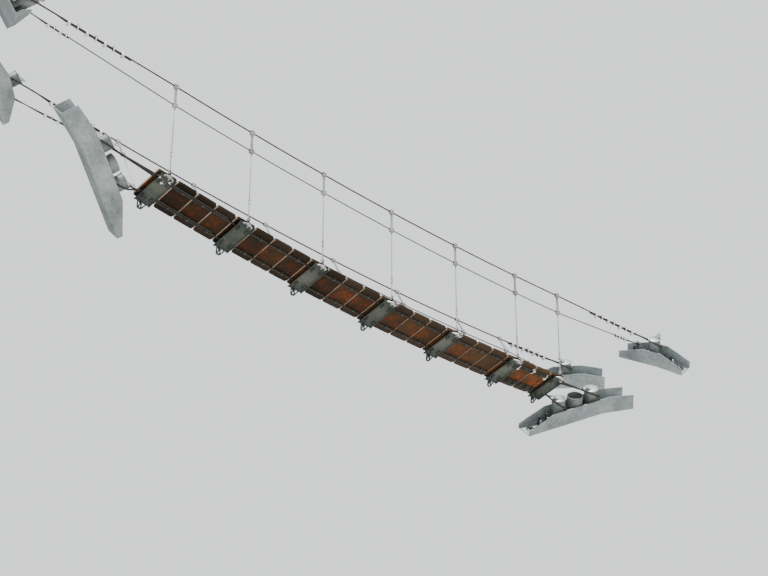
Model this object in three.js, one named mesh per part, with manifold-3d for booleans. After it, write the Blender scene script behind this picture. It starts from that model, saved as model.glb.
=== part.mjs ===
// A rope suspension footbridge: boards on two deck cables, hung by rods from two hand cables,
// with a thinner safety cable under each hand cable and bolted steel anchors at both ends.
// Millimetres. X runs along the bridge, Y across it towards the far side, Z is up.

import * as THREE from 'three';
import { mergeVertices } from 'three/addons/utils/BufferGeometryUtils.js';
import Module from 'manifold-3d';

const wasm = await Module();
wasm.setup();

// The bays: a hanger and a cross plate stand at each station, boards lie at an even pitch.
const bay = 1000;
const boardPitch = bay / 4;
const fullBays = 5;
const lastBay = 3 * boardPitch;
const span = fullBays * bay + lastBay;
const halfSpan = span / 2;
const boardCount = span / boardPitch + 1;

// The deck
const deckSag = 180;
const deckWidth = 410;
const boardLength = 236;
const boardThickness = 40;
const boardCornerRadius = 22;
const plateWidth = 432;
const plateLength = 184;
const plateThickness = 8;
const plateLipDepth = 22;
const plateLipThickness = 6;

// The cables: across the bridge, up it, and their thicknesses
const deckCableAcross = 125;
const deckCableDiameter = 20;
const handCableAcross = 470;
const handHeight = 1100;
const handSag = 125;
const handCableDiameter = 16;
const safetyDrop = 230;
const safetyCableDiameter = 12;
const cableSides = 6;
const eyeSteps = 16;

// The hangers: a fork pinned to the plate's ear, a rod with a link, a flat bar and two clamps
const hangerFootAcross = 232;
const hangerFootRise = 26;
const lugThickness = 10;
const lugWidth = 32;
const lugReach = 58;
const forkCheek = 5;
const forkWidth = 30;
const forkBridge = 8;
const forkHeadroom = 12;
const pinDiameter = 12;
const pinOverhang = 6;
const rodDiameter = 11;
const rodSides = 6;
const linkStart = 200;
const linkLength = 62;
const linkWidth = 24;
const linkThickness = 16;
const barWidth = 26;
const barThickness = 12;
const barBelowClamp = 40;
const clampLength = 50;
const clampWidth = 36;
const clampHeight = 44;

// The anchors: folded troughs on flat undersides, with round bollards for the cable eyes
const mountNormal = new THREE.Vector3(-0.61, -0.68, 0.4).normalize();
const troughWidth = 240;
const troughPlate = 12;
const cheekHeight = 190;
const bollardHeight = 312;
const bollardTopThickness = 14;
const bollardTopLip = 7;
const eyeHeight = 252;
const deckBollardDiameter = 160;
const handBollardDiameter = 140;
const deckBollardSpread = 450;
const ringDiameter = 190;
const ringHeight = 282;
const ringWall = 12;
const hornLength = 104;
const hornThickness = 12;
const hornRoot = 10;
const hornSink = 4;
const hornTilt = THREE.MathUtils.degToRad(35.5);
const hornWidthShare = 0.44;
const hornShiftShare = 0.08;
const safetyPostDiameter = 36;
const safetyPostHeight = 212;
const safetyPostCap = 8;
const safetyPostLip = 6;
const safetyPostSides = 12;
const safetyPostAlong = -230;
const safetyEyeHeight = 180;

// Side views of the troughs: flat as far as the hip, then folded down by the dip
const deckTrough = {
  near: 700, far: 755, hip: 320, dip: 66, nearHeight: 60, nearTaper: 350, farHeight: 185, farTaper: 330,
};
const farTrough = {
  near: 430, far: 480, hip: 100, dip: 45, nearHeight: 70, nearTaper: 300, farHeight: 175, farTaper: 260,
};
const nearTrough = {
  near: 420, far: 430, hip: 100, dip: 30, nearHeight: 90, nearTaper: 320, farHeight: 85, farTaper: 300,
};

// Where the middles of the eyes sit past the last hanger, and how far each anchor is turned
const deckPlace = { beyond: 520, across: 0, rise: 240, turn: 0, hornTurn: Math.PI };
const nearPlace = { beyond: 1800, across: -500, rise: 1300, turn: 62, hornTurn: Math.PI / 3 };
const farPlace = { beyond: 1270, across: 500, rise: 1390, turn: 27, hornTurn: Math.PI };

// Clearances between touching pieces and inside a cable's own eye, and the bite of a weld
const fit = 0.3;
const seat = 0.6;
const strandGap = 4;
const eyeSeat = 0.55;
const clampBore = 0.7;
const weld = 2;

const steel = { color: 0x9aa3a3, roughness: 0.5, metalness: 0.85 };
const cableSteel = { color: 0x6f7476, roughness: 0.55, metalness: 0.8 };
const wood = { color: 0x8a4a22, roughness: 0.8, metalness: 0 };

const stationX = [];
for (let i = 0; i <= fullBays; i += 1) {
  stationX.push(i * bay - halfSpan);
}
stationX.push(halfSpan);

const deckLine = (x) => deckSag * (x / halfSpan) ** 2;
const handLine = (x) => handHeight + handSag * (x / halfSpan) ** 2;
const slopeOf = (line, x) => (line(x + 1) - line(x - 1)) / 2;

const bridge = new THREE.Group();

function addPiece(name, geometry, look) {
  const mesh = new THREE.Mesh(geometry, new THREE.MeshStandardMaterial(look));
  mesh.name = name;
  bridge.add(mesh);
  return mesh;
}

// Booleans

function toSolid(geometry) {
  const bare = geometry.clone();
  bare.deleteAttribute('normal');
  bare.deleteAttribute('uv');
  const merged = mergeVertices(bare, 1e-4);
  return new wasm.Manifold(new wasm.Mesh({
    numProp: 3,
    vertProperties: new Float32Array(merged.attributes.position.array),
    triVerts: new Uint32Array(merged.index.array),
  }));
}

function toGeometry(solid) {
  const mesh = solid.getMesh();
  const geometry = new THREE.BufferGeometry();
  geometry.setAttribute('position', new THREE.BufferAttribute(mesh.vertProperties, 3));
  geometry.setIndex(new THREE.BufferAttribute(mesh.triVerts, 1));
  return geometry;
}

function joined(geometries) {
  return geometries.map(toSolid).reduce((whole, piece) => whole.add(piece));
}

// Plain shapes

function boxAt(length, width, height, x, y, z) {
  return new THREE.BoxGeometry(length, width, height).translate(x, y, z);
}

function uprightCylinder(diameter, bottom, top, x = 0, sides = 24) {
  const cylinder = new THREE.CylinderGeometry(diameter / 2, diameter / 2, top - bottom, sides);
  return cylinder.rotateX(Math.PI / 2).translate(x, 0, (bottom + top) / 2);
}

function crossCylinder(diameter, length, sides = 10) {
  return new THREE.CylinderGeometry(diameter / 2, diameter / 2, length, sides).rotateZ(Math.PI / 2);
}

function roundedPanel(length, width, radius, thickness) {
  const x = length / 2;
  const y = width / 2;
  const outline = new THREE.Shape();
  outline.moveTo(-x + radius, -y);
  outline.lineTo(x - radius, -y);
  outline.absarc(x - radius, -y + radius, radius, -Math.PI / 2, 0);
  outline.lineTo(x, y - radius);
  outline.absarc(x - radius, y - radius, radius, 0, Math.PI / 2);
  outline.lineTo(-x + radius, y);
  outline.absarc(-x + radius, y - radius, radius, Math.PI / 2, Math.PI);
  outline.lineTo(-x, -y + radius);
  outline.absarc(-x + radius, -y + radius, radius, Math.PI, Math.PI * 1.5);
  return new THREE.ExtrudeGeometry(outline, { depth: thickness, bevelEnabled: false, curveSegments: 2 });
}

// A curve through given points, whose parameter steps from one point to the next.
class StrandCurve extends THREE.Curve {
  constructor(points) {
    super();
    this.points = points;
  }

  getPoint(t, target = new THREE.Vector3()) {
    const last = this.points.length - 1;
    return target.copy(this.points[Math.round(t * last)]);
  }

  getPointAt(u, target) {
    return this.getPoint(u, target);
  }

  getTangentAt(u, target = new THREE.Vector3()) {
    const last = this.points.length - 1;
    const index = Math.round(u * last);
    const before = this.points[Math.max(index - 1, 0)];
    const after = this.points[Math.min(index + 1, last)];
    return target.copy(after).sub(before).normalize();
  }
}

function tube(points, diameter, sides = cableSides) {
  const section = new THREE.Shape();
  section.moveTo(diameter / 2, 0);
  for (let i = 1; i <= sides; i += 1) {
    const angle = (i / sides) * Math.PI * 2;
    section.lineTo((Math.cos(angle) * diameter) / 2, (Math.sin(angle) * diameter) / 2);
  }
  const settings = { steps: points.length - 1, extrudePath: new StrandCurve(points), bevelEnabled: false };
  return new THREE.ExtrudeGeometry(section, settings);
}

// Anchors. Each lies in its own frame: u along the trough, v across it, w up from its underside.

function eyeMiddle(place) {
  return new THREE.Vector3(halfSpan + place.beyond, place.across, place.rise);
}

function anchorFrame(end, place) {
  const normal = mountNormal.clone();
  const along = new THREE.Vector3(1, 0, 0).addScaledVector(normal, -normal.x).normalize();
  along.applyAxisAngle(normal, -THREE.MathUtils.degToRad(place.turn));
  const base = eyeMiddle(place).addScaledVector(normal, -eyeHeight);
  [normal, along, base].forEach((vector) => { vector.x *= end; });
  const across = normal.clone().cross(along);
  const matrix = new THREE.Matrix4().makeBasis(along, across, normal).setPosition(base);
  return { matrix, base, normal, along };
}

// The underside of a trough in side view, from its near end to its far end
function troughOutline(shape) {
  const outline = new THREE.Shape();
  outline.moveTo(-shape.near, 0);
  outline.lineTo(shape.hip, 0);
  outline.lineTo(shape.far, -shape.dip);
  return outline;
}

function cheek(shape, side) {
  const outline = troughOutline(shape);
  outline.lineTo(shape.far, shape.farHeight - shape.dip);
  outline.lineTo(shape.far - shape.farTaper, cheekHeight);
  outline.lineTo(-shape.near + shape.nearTaper, cheekHeight);
  outline.lineTo(-shape.near, shape.nearHeight);
  const plate = new THREE.ExtrudeGeometry(outline, { depth: troughPlate, bevelEnabled: false });
  const inner = troughWidth / 2 - troughPlate;
  plate.rotateX(Math.PI / 2);
  return plate.translate(0, side > 0 ? troughWidth / 2 : -inner, 0);
}

function basePlate(shape) {
  const outline = troughOutline(shape);
  outline.lineTo(shape.far, troughPlate - shape.dip);
  outline.lineTo(shape.hip, troughPlate);
  outline.lineTo(-shape.near, troughPlate);
  const width = troughWidth - 2 * troughPlate + 2 * weld;
  const plate = new THREE.ExtrudeGeometry(outline, { depth: width, bevelEnabled: false });
  plate.rotateX(Math.PI / 2);
  return plate.translate(0, width / 2, 0);
}

function trough(shape) {
  return [cheek(shape, 1), cheek(shape, -1), basePlate(shape)];
}

function bollard(u, diameter, hornTurn) {
  const lidBottom = bollardHeight - bollardTopThickness;
  const stem = uprightCylinder(diameter, troughPlate - weld, bollardHeight, u);
  const lid = uprightCylinder(diameter + 2 * bollardTopLip, lidBottom, bollardHeight, u);
  const horn = boxAt(hornLength, diameter * hornWidthShare, hornThickness, hornLength / 2 - hornRoot, 0, 0);
  horn.rotateY(-hornTilt);
  horn.translate(diameter * hornShiftShare, 0, bollardHeight - hornSink);
  horn.rotateZ(hornTurn);
  horn.translate(u, 0, 0);
  return [stem, lid, horn];
}

function pipeRing(diameter, wall, height) {
  const outer = diameter / 2;
  const inner = outer - wall;
  const foot = troughPlate - weld;
  const profile = [
    new THREE.Vector2(inner, foot),
    new THREE.Vector2(outer, foot),
    new THREE.Vector2(outer, height),
    new THREE.Vector2(inner, height),
    new THREE.Vector2(inner, foot),
  ];
  return new THREE.LatheGeometry(profile, 28).rotateX(Math.PI / 2);
}

function safetyPost() {
  const capBottom = safetyPostHeight - safetyPostCap;
  const capDiameter = safetyPostDiameter + 2 * safetyPostLip;
  const foot = troughPlate - weld;
  return [
    uprightCylinder(safetyPostDiameter, foot, safetyPostHeight, safetyPostAlong, safetyPostSides),
    uprightCylinder(capDiameter, capBottom, safetyPostHeight, safetyPostAlong, safetyPostSides),
  ];
}

function deckAnchor() {
  const half = deckBollardSpread / 2;
  return joined([
    ...trough(deckTrough),
    ...bollard(-half, deckBollardDiameter, deckPlace.hornTurn),
    ...bollard(half, deckBollardDiameter, deckPlace.hornTurn),
    pipeRing(ringDiameter, ringWall, ringHeight),
  ]);
}

function handAnchor(shape, place) {
  return joined([...trough(shape), ...bollard(0, handBollardDiameter, place.hornTurn), ...safetyPost()]);
}

[[1, 'right'], [-1, 'left']].forEach(([end, word]) => {
  const anchors = [
    [`deck_anchor_${word}`, deckAnchor(), deckPlace],
    [`hand_anchor_near_${word}`, handAnchor(nearTrough, nearPlace), nearPlace],
    [`hand_anchor_far_${word}`, handAnchor(farTrough, farPlace), farPlace],
  ];
  anchors.forEach(([name, solid, place]) => {
    const anchor = addPiece(name, toGeometry(solid), steel);
    anchor.applyMatrix4(anchorFrame(end, place).matrix);
  });
});

// The eyes at the right-hand end; those at the left-hand end are their mirror images.

function deckEye(bollardSide) {
  const { along } = anchorFrame(1, deckPlace);
  return eyeMiddle(deckPlace).addScaledVector(along, (bollardSide * deckBollardSpread) / 2);
}

function safetyEye(place) {
  const frame = anchorFrame(1, place);
  const point = frame.base.clone();
  point.addScaledVector(frame.along, safetyPostAlong);
  return point.addScaledVector(frame.normal, safetyEyeHeight);
}

// Hangers stand in planes across the bridge and lean outwards. side is -1 near, +1 far.

function hangerEnds(x, side) {
  const foot = new THREE.Vector3(x, side * hangerFootAcross, deckLine(x) + hangerFootRise);
  const top = new THREE.Vector3(x, side * handCableAcross, handLine(x));
  return { foot, top, up: top.clone().sub(foot).normalize() };
}

const deckPoint = (x, side) => new THREE.Vector3(x, side * deckCableAcross, deckLine(x));
const handPoint = (x, side) => new THREE.Vector3(x, side * handCableAcross, handLine(x));

function safetyPoint(x, side) {
  const { top, up } = hangerEnds(x, side);
  return top.addScaledVector(up, -safetyDrop);
}

// Cables. Each is one rope: it comes out of an eye round a bollard, runs the span and ends in
// another eye, with its tail laid back beside the main strand.

function eyeAndTail(cable) {
  const pull = cable.eye.clone().sub(cable.leave).normalize();
  const side = mountNormal.clone().cross(pull).normalize();
  const slant = mountNormal.clone().cross(pull).length();
  const radius = (cable.postRadius + cable.diameter / 2 + eyeSeat) / slant;
  const opening = Math.asin(radius / cable.throat);
  const throat = cable.eye.clone().addScaledVector(pull, -cable.throat);
  const spacing = cable.diameter + strandGap;
  const points = [throat];
  for (let i = 0; i <= eyeSteps; i += 1) {
    const angle = -opening + ((Math.PI + 2 * opening) * i) / eyeSteps;
    const point = cable.eye.clone();
    point.addScaledVector(side, radius * Math.cos(angle));
    points.push(point.addScaledVector(pull, radius * Math.sin(angle)));
  }
  points.push(throat.clone().addScaledVector(side, -spacing));
  const { start, length, step } = cable.tail;
  for (let x = start; x >= start - length; x -= step) {
    const share = (x - cable.leave.x) / (cable.eye.x - cable.leave.x);
    const beside = share > 0 ? cable.leave.clone().lerp(cable.eye, share) : cable.line(x, cable.side);
    points.push(beside.addScaledVector(cable.tailDirection, spacing));
  }
  return points;
}

function mirrored(points) {
  return points.map((point) => new THREE.Vector3(-point.x, point.y, point.z)).reverse();
}

function spanPoints(cable) {
  const places = stationX.concat([cable.leave.x, -cable.leave.x]);
  for (let x = -halfSpan; x <= halfSpan; x += boardPitch) {
    places.push(x);
  }
  const ordered = [...new Set(places)].sort((a, b) => a - b);
  return ordered.map((x) => cable.line(x, cable.side));
}

function cablePoints(cable) {
  const end = eyeAndTail(cable);
  return [...mirrored(end), ...spanPoints(cable), ...end];
}

const deckRope = {
  diameter: deckCableDiameter,
  postRadius: deckBollardDiameter / 2,
  throat: 185,
  line: deckPoint,
  leaveX: halfSpan + boardPitch / 2 + 20,
  tailDirection: new THREE.Vector3(0, -1, 0),
};
const handRope = {
  diameter: handCableDiameter,
  postRadius: handBollardDiameter / 2,
  throat: 300,
  line: handPoint,
  leaveX: halfSpan + 60,
  tailDirection: new THREE.Vector3(0, 0, -1),
};
const safetyRope = {
  diameter: safetyCableDiameter,
  postRadius: safetyPostDiameter / 2,
  throat: 110,
  line: safetyPoint,
  leaveX: halfSpan + 60,
  tailDirection: new THREE.Vector3(0, 0, -1),
};

function makeCable(name, side, rope, eye, tail) {
  const cable = { name, side, eye, tail, leave: rope.line(rope.leaveX, side), ...rope };
  addPiece(name, tube(cablePoints(cable), rope.diameter), cableSteel);
  return cable;
}

// A tail starts at a place along the bridge and runs back by its length in even steps.
const deckTail = { start: halfSpan + 100, length: 900, step: boardPitch / 2 };
const nearEye = eyeMiddle(nearPlace);
const farEye = eyeMiddle(farPlace);
const nearHandTail = { start: nearEye.x - 420, length: 800, step: 200 };
const farHandTail = { start: farEye.x - 420, length: 700, step: 175 };
const nearSafetyTail = { start: nearEye.x - 330, length: 240, step: 120 };
const farSafetyTail = { start: farEye.x - 450, length: 240, step: 120 };

makeCable('deck_cable_near', -1, deckRope, deckEye(1), deckTail);
makeCable('deck_cable_far', 1, deckRope, deckEye(-1), deckTail);
const heldCables = [
  makeCable('hand_cable_near', -1, handRope, nearEye, nearHandTail),
  makeCable('hand_cable_far', 1, handRope, farEye, farHandTail),
  makeCable('safety_cable_near', -1, safetyRope, safetyEye(nearPlace), nearSafetyTail),
  makeCable('safety_cable_far', 1, safetyRope, safetyEye(farPlace), farSafetyTail),
];

// Boards and cross plates

function placeOnDeck(mesh, x, lift) {
  const tilt = Math.atan(slopeOf(deckLine, x));
  mesh.rotation.y = -tilt;
  mesh.position.set(x - lift * Math.sin(tilt), 0, deckLine(x) + lift * Math.cos(tilt));
}

for (let i = 0; i < boardCount; i += 1) {
  const geometry = roundedPanel(boardLength, deckWidth, boardCornerRadius, boardThickness);
  const board = addPiece(`deck_board_${String(i + 1).padStart(2, '0')}`, geometry, wood);
  placeOnDeck(board, i * boardPitch - halfSpan, deckCableDiameter / 2 + seat);
}

// The ear at a plate's end that a hanger's fork is pinned to, seen from the station's own place
function plateLug(x, side) {
  const { foot, up } = hangerEnds(x, side);
  const height = lugReach + lugWidth / 2;
  const ear = boxAt(lugThickness, lugWidth, height, 0, 0, height / 2 - lugReach);
  const drill = crossCylinder(pinDiameter + 2 * fit, 3 * lugThickness);
  const lean = new THREE.Matrix4().makeRotationX(-side * Math.acos(up.z));
  const drilled = toGeometry(toSolid(ear).subtract(toSolid(drill)));
  return drilled.applyMatrix4(lean.setPosition(0, foot.y, foot.z));
}

// The plate hangs under the deck cables and tilts with them; its ears are cut off at its lips.
function crossPlate(x) {
  const top = -deckCableDiameter / 2 - seat;
  const edge = (plateLength - plateLipThickness) / 2;
  const lipMiddle = top - plateLipDepth / 2;
  const cutDepth = 2 * plateLength;
  const cutMiddle = top - plateLipDepth - cutDepth / 2;
  const folded = [
    boxAt(plateLength, plateWidth, plateThickness, 0, 0, top - plateThickness / 2),
    boxAt(plateLipThickness, plateWidth, plateLipDepth, -edge, 0, lipMiddle),
    boxAt(plateLipThickness, plateWidth, plateLipDepth, edge, 0, lipMiddle),
  ];
  const below = boxAt(2 * plateLength, 2 * plateWidth, cutDepth, 0, 0, cutMiddle);
  const tilt = new THREE.Matrix4().makeRotationY(-Math.atan(slopeOf(deckLine, x)));
  tilt.setPosition(0, 0, deckLine(x));
  [...folded, below].forEach((piece) => piece.applyMatrix4(tilt));
  return joined([...folded, plateLug(x, -1), plateLug(x, 1)]).subtract(toSolid(below));
}

stationX.forEach((x, index) => {
  const plate = addPiece(`cross_plate_${index}`, toGeometry(crossPlate(x)), steel);
  plate.position.x = x;
});

// Hangers

// A hanger's frame: its origin at the foot pin, its own up axis along the rod
function hangerMatrix(x, side) {
  const { foot, up } = hangerEnds(x, side);
  const along = new THREE.Vector3(1, 0, 0);
  return new THREE.Matrix4().makeBasis(along, up.clone().cross(along), up).setPosition(foot);
}

function clampHole(cable, x) {
  const points = [-1, 0, 1].map((step) => cable.line(x + step * clampLength, cable.side));
  return toSolid(tube(points, cable.diameter + 2 * clampBore, 2 * cableSides));
}

function hangerSolid(x, side) {
  const { foot, top } = hangerEnds(x, side);
  const length = top.distanceTo(foot);
  const safetyHeight = length - safetyDrop;
  const forkTop = lugWidth / 2 + forkHeadroom;
  const forkBottom = -forkWidth / 2;
  const forkHalf = lugThickness / 2 + fit + forkCheek;
  const barLength = safetyDrop + barBelowClamp;
  const cheeks = [-1, 1].map((edge) => {
    const along = edge * (forkHalf - forkCheek / 2);
    return boxAt(forkCheek, forkWidth, forkTop - forkBottom, along, 0, (forkTop + forkBottom) / 2);
  });
  const pieces = [
    ...cheeks,
    boxAt(2 * forkHalf, forkWidth, forkBridge, 0, 0, forkTop + forkBridge / 2 - weld),
    crossCylinder(pinDiameter, 2 * (forkHalf + pinOverhang)),
    uprightCylinder(rodDiameter, forkTop, safetyHeight, 0, rodSides),
    boxAt(linkWidth, linkThickness, linkLength, 0, 0, linkStart + linkLength / 2),
    boxAt(barWidth, barThickness, barLength, 0, 0, length - barLength / 2),
    boxAt(clampLength, clampWidth, clampHeight, 0, 0, safetyHeight),
    boxAt(clampLength, clampWidth, clampHeight, 0, 0, length),
  ];
  const matrix = hangerMatrix(x, side);
  return joined(pieces.map((piece) => piece.applyMatrix4(matrix)));
}

stationX.forEach((x, index) => {
  [[-1, 'near'], [1, 'far']].forEach(([side, word]) => {
    let solid = hangerSolid(x, side);
    heldCables.filter((cable) => cable.side === side).forEach((cable) => {
      solid = solid.subtract(clampHole(cable, x));
    });
    addPiece(`hanger_${word}_${index}`, toGeometry(solid), steel);
  });
});

// The origin lies on the underside of the right-hand deck anchor, midway between its bollards.
bridge.position.copy(anchorFrame(1, deckPlace).base).negate();

export default bridge;
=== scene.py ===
import math

import bmesh
import bpy
from mathutils import Matrix, Vector, noise


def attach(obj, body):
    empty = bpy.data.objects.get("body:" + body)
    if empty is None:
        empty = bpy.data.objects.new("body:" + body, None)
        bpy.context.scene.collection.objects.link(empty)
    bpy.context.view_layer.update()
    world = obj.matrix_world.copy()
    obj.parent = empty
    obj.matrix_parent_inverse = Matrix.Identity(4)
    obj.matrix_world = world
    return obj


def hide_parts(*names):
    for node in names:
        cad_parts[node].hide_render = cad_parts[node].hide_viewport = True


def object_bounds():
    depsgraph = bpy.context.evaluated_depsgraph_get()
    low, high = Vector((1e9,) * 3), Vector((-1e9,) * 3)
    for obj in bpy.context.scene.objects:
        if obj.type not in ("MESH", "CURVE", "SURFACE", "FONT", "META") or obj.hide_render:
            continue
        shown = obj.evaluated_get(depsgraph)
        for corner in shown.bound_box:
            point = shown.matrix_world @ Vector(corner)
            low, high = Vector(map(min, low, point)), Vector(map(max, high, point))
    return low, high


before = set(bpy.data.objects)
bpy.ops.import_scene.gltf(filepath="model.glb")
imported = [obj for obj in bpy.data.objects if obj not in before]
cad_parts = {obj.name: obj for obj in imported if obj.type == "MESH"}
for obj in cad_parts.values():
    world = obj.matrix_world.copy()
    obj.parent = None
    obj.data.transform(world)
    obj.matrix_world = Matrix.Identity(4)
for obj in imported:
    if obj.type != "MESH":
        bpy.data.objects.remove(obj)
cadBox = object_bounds()
print("frame loaded:", len(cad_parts), "nodes")

# Metres. The layout is worked out from mid-span at the deck cables' centre line, then shifted
# so that the origin lies under the right-hand deck anchor.
layout = {
    "bay": 1.0,
    "fullBays": 5,
    "boardPitch": 0.25,
    "lastBayBoards": 3,
    "deckSag": 0.18,
    "deckCableAcross": 0.125,
    "handHeight": 1.1,
    "handSag": 0.125,
    "handCableAcross": 0.47,
    "safetyDrop": 0.23,
    "footAcross": 0.232,
    "footRise": 0.026,
    "eyeHeight": 0.252,
    "mountNormal": (-0.61, -0.68, 0.4),
}
places = {
    "deck": {"beyond": 0.52, "across": 0.0, "rise": 0.24, "turn": 0, "hornTurn": 180},
    "near": {"beyond": 1.8, "across": -0.5, "rise": 1.3, "turn": 62, "hornTurn": 60},
    "far": {"beyond": 1.27, "across": 0.5, "rise": 1.39, "turn": 27, "hornTurn": 180},
}
xAxis, yAxis, zAxis = Vector((1, 0, 0)), Vector((0, 1, 0)), Vector((0, 0, 1))
halfSpan = (layout["fullBays"] * layout["bay"] + layout["lastBayBoards"] * layout["boardPitch"]) / 2
stations = [i * layout["bay"] - halfSpan for i in range(layout["fullBays"] + 1)] + [halfSpan]
mountNormal = Vector(layout["mountNormal"]).normalized()


def deckLine(x):
    return layout["deckSag"] * (x / halfSpan) ** 2


def handLine(x):
    return layout["handHeight"] + layout["handSag"] * (x / halfSpan) ** 2


def deckSlope(x):
    return math.atan(2 * layout["deckSag"] * x / halfSpan ** 2)


def deckPoint(x, side):
    return Vector((x, side * layout["deckCableAcross"], deckLine(x)))


def handPoint(x, side):
    return Vector((x, side * layout["handCableAcross"], handLine(x)))


def footPoint(x, side):
    return Vector((x, side * layout["footAcross"], deckLine(x) + layout["footRise"]))


def safetyPoint(x, side):
    foot, top = footPoint(x, side), handPoint(x, side)
    return top - (top - foot).normalized() * layout["safetyDrop"]


def eyeMiddle(place):
    return Vector((halfSpan + place["beyond"], place["across"], place["rise"]))


shift = mountNormal * layout["eyeHeight"] - eyeMiddle(places["deck"])  # mid-span frame to part frame


def axesMatrix(first, second, third):
    return Matrix((first, second, third)).transposed().to_4x4()


def anchorMatrix(end, place):
    along = xAxis - mountNormal * mountNormal.x
    along = Matrix.Rotation(-math.radians(place["turn"]), 3, mountNormal) @ along.normalized()
    normal = mountNormal.copy()
    base = eyeMiddle(place) - mountNormal * layout["eyeHeight"]
    for vector in (normal, along, base):
        vector.x *= end
    return Matrix.Translation(base + shift) @ axesMatrix(along, normal.cross(along), normal)


# Shapes. Each one is added to a bmesh, moved by a matrix.
roundShare = 0.3  # a rounded edge's middle point stands in by this share of the edge
nutEdge = 0.06  # a nut's bevel, as a share of its width


def softenEdges(shape, edges, offset, steps):
    bmesh.ops.bevel(shape, geom=edges, offset=offset, segments=steps, profile=0.6, affect="EDGES")


def addShape(target, shape, place):
    bmesh.ops.transform(shape, matrix=place, verts=shape.verts[:])
    holder = bpy.data.meshes.new("holder")
    shape.to_mesh(holder)
    shape.free()
    target.from_mesh(holder)
    bpy.data.meshes.remove(holder)


def addBlock(target, size, place, edge=0.002, steps=2):
    shape = bmesh.new()
    bmesh.ops.create_cube(shape, size=1.0, matrix=Matrix.Diagonal((*size, 1.0)))
    softenEdges(shape, shape.edges[:], edge, steps)
    addShape(target, shape, place)


def addTurned(target, profile, place, sides=24, closed=False):
    shape = bmesh.new()
    rings = []
    for radius, height in profile:
        count = sides if radius > 1e-6 else 1
        angles = [2 * math.pi * i / sides for i in range(count)]
        rings.append([shape.verts.new((radius * math.cos(a), radius * math.sin(a), height)) for a in angles])
    pairs = list(zip(rings, rings[1:]))
    if closed:
        pairs.append((rings[-1], rings[0]))
    for low, high in pairs:
        for i in range(sides):
            j = (i + 1) % sides
            corners = [low[i % len(low)], low[j % len(low)], high[j % len(high)], high[i % len(high)]]
            corners = list(dict.fromkeys(corners))
            if len(corners) > 2:
                shape.faces.new(corners)
    addShape(target, shape, place)


def discProfile(radius, low, high, edge):
    inset = edge * roundShare
    return [
        (0, low), (radius - edge, low), (radius - inset, low + inset), (radius, low + edge),
        (radius, high - edge), (radius - inset, high - inset), (radius - edge, high), (0, high),
    ]


def bridgeRings(shape, rings):
    count = len(rings[0])
    for low, high in zip(rings, rings[1:]):
        for k in range(count):
            n = (k + 1) % count
            shape.faces.new((low[k], low[n], high[n], high[k]))


def hexNut(target, across, height, place):
    radius = across / math.sqrt(3)
    edge = across * nutEdge
    profile = [
        (0, 0), (radius - edge, 0), (radius, edge),
        (radius, height - edge), (radius - edge, height), (0, height),
    ]
    addTurned(target, profile, place, sides=6)


def addRod(target, points, radius, sides=10, closed=False):
    shape = bmesh.new()
    count = len(points)
    angles = [2 * math.pi * k / sides for k in range(sides)]
    side = None
    rings = []
    for i, point in enumerate(points):
        before = points[(i - 1) % count] if closed or i > 0 else point
        after = points[(i + 1) % count] if closed or i < count - 1 else point
        ahead = (after - before).normalized()
        if side is None:
            side = ahead.orthogonal().normalized()
        side = (side - ahead * side.dot(ahead)).normalized()
        third = ahead.cross(side)
        spots = [point + side * (radius * math.cos(a)) + third * (radius * math.sin(a)) for a in angles]
        rings.append([shape.verts.new(spot) for spot in spots])
    if closed:
        rings.append(rings[0])
    else:
        shape.faces.new(rings[0][::-1])
        shape.faces.new(rings[-1])
    bridgeRings(shape, rings)
    addShape(target, shape, Matrix.Identity(4))


def addPlate(target, outline, thickness, place, edge=0.002, steps=2):
    shape = bmesh.new()
    face = shape.faces.new([shape.verts.new((x, y, 0)) for x, y in outline])
    pulled = bmesh.ops.extrude_face_region(shape, geom=[face])
    moved = [v for v in pulled["geom"] if isinstance(v, bmesh.types.BMVert)]
    bmesh.ops.translate(shape, vec=(0, 0, thickness), verts=moved)
    bmesh.ops.recalc_face_normals(shape, faces=shape.faces[:])
    rims = [e for e in shape.edges if e.calc_face_angle(0) > 0.9]
    softenEdges(shape, rims, edge, steps)
    addShape(target, shape, place)


def at(x, y, z):
    return Matrix.Translation((x, y, z))


def turned(degrees, axis):
    return Matrix.Rotation(math.radians(degrees), 4, axis)


def arcPoints(middle, radius, start, end, count, first, second):
    angles = [math.radians(start + (end - start) * i / count) for i in range(count + 1)]
    return [middle + first * (radius * math.cos(a)) + second * (radius * math.sin(a)) for a in angles]


def flatArc(radius, start, turn, steps):
    angles = [start + turn * i / steps for i in range(steps + 1)]
    return [(radius * math.cos(a), radius * math.sin(a)) for a in angles]


def hookLine(half, level, legs, across, steps):
    start = 0 if level > legs else 180
    bow = arcPoints(zAxis * level, half, start, start + 180, steps, across, zAxis)
    end = across * math.copysign(half, level - legs)
    return [zAxis * legs + end] + bow + [zAxis * legs - end]


def facingX(start):
    return Matrix(((0, 0, 1, start), (1, 0, 0, 0), (0, 1, 0, 0), (0, 0, 0, 1)))


def smoothMesh(name, target, smooth=35):
    bmesh.ops.recalc_face_normals(target, faces=target.faces[:])
    mesh = bpy.data.meshes.new(name)
    target.to_mesh(mesh)
    target.free()
    mesh.polygons.foreach_set("use_smooth", [True] * len(mesh.polygons))
    mesh.set_sharp_from_angle(angle=math.radians(smooth))
    return mesh


def addObject(name, data):
    made = bpy.data.objects.new(name, data)
    bpy.context.scene.collection.objects.link(made)
    return made


def placePiece(name, mesh, replaced=()):
    piece = addObject(name, mesh)
    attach(piece, "root")
    if replaced:
        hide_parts(*replaced)
    return piece


def finishPiece(name, target, material, replaced=()):
    mesh = smoothMesh(name, target)
    mesh.materials.append(material)
    return placePiece(name, mesh, replaced)


# Camera: below the deck, on its near side

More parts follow.
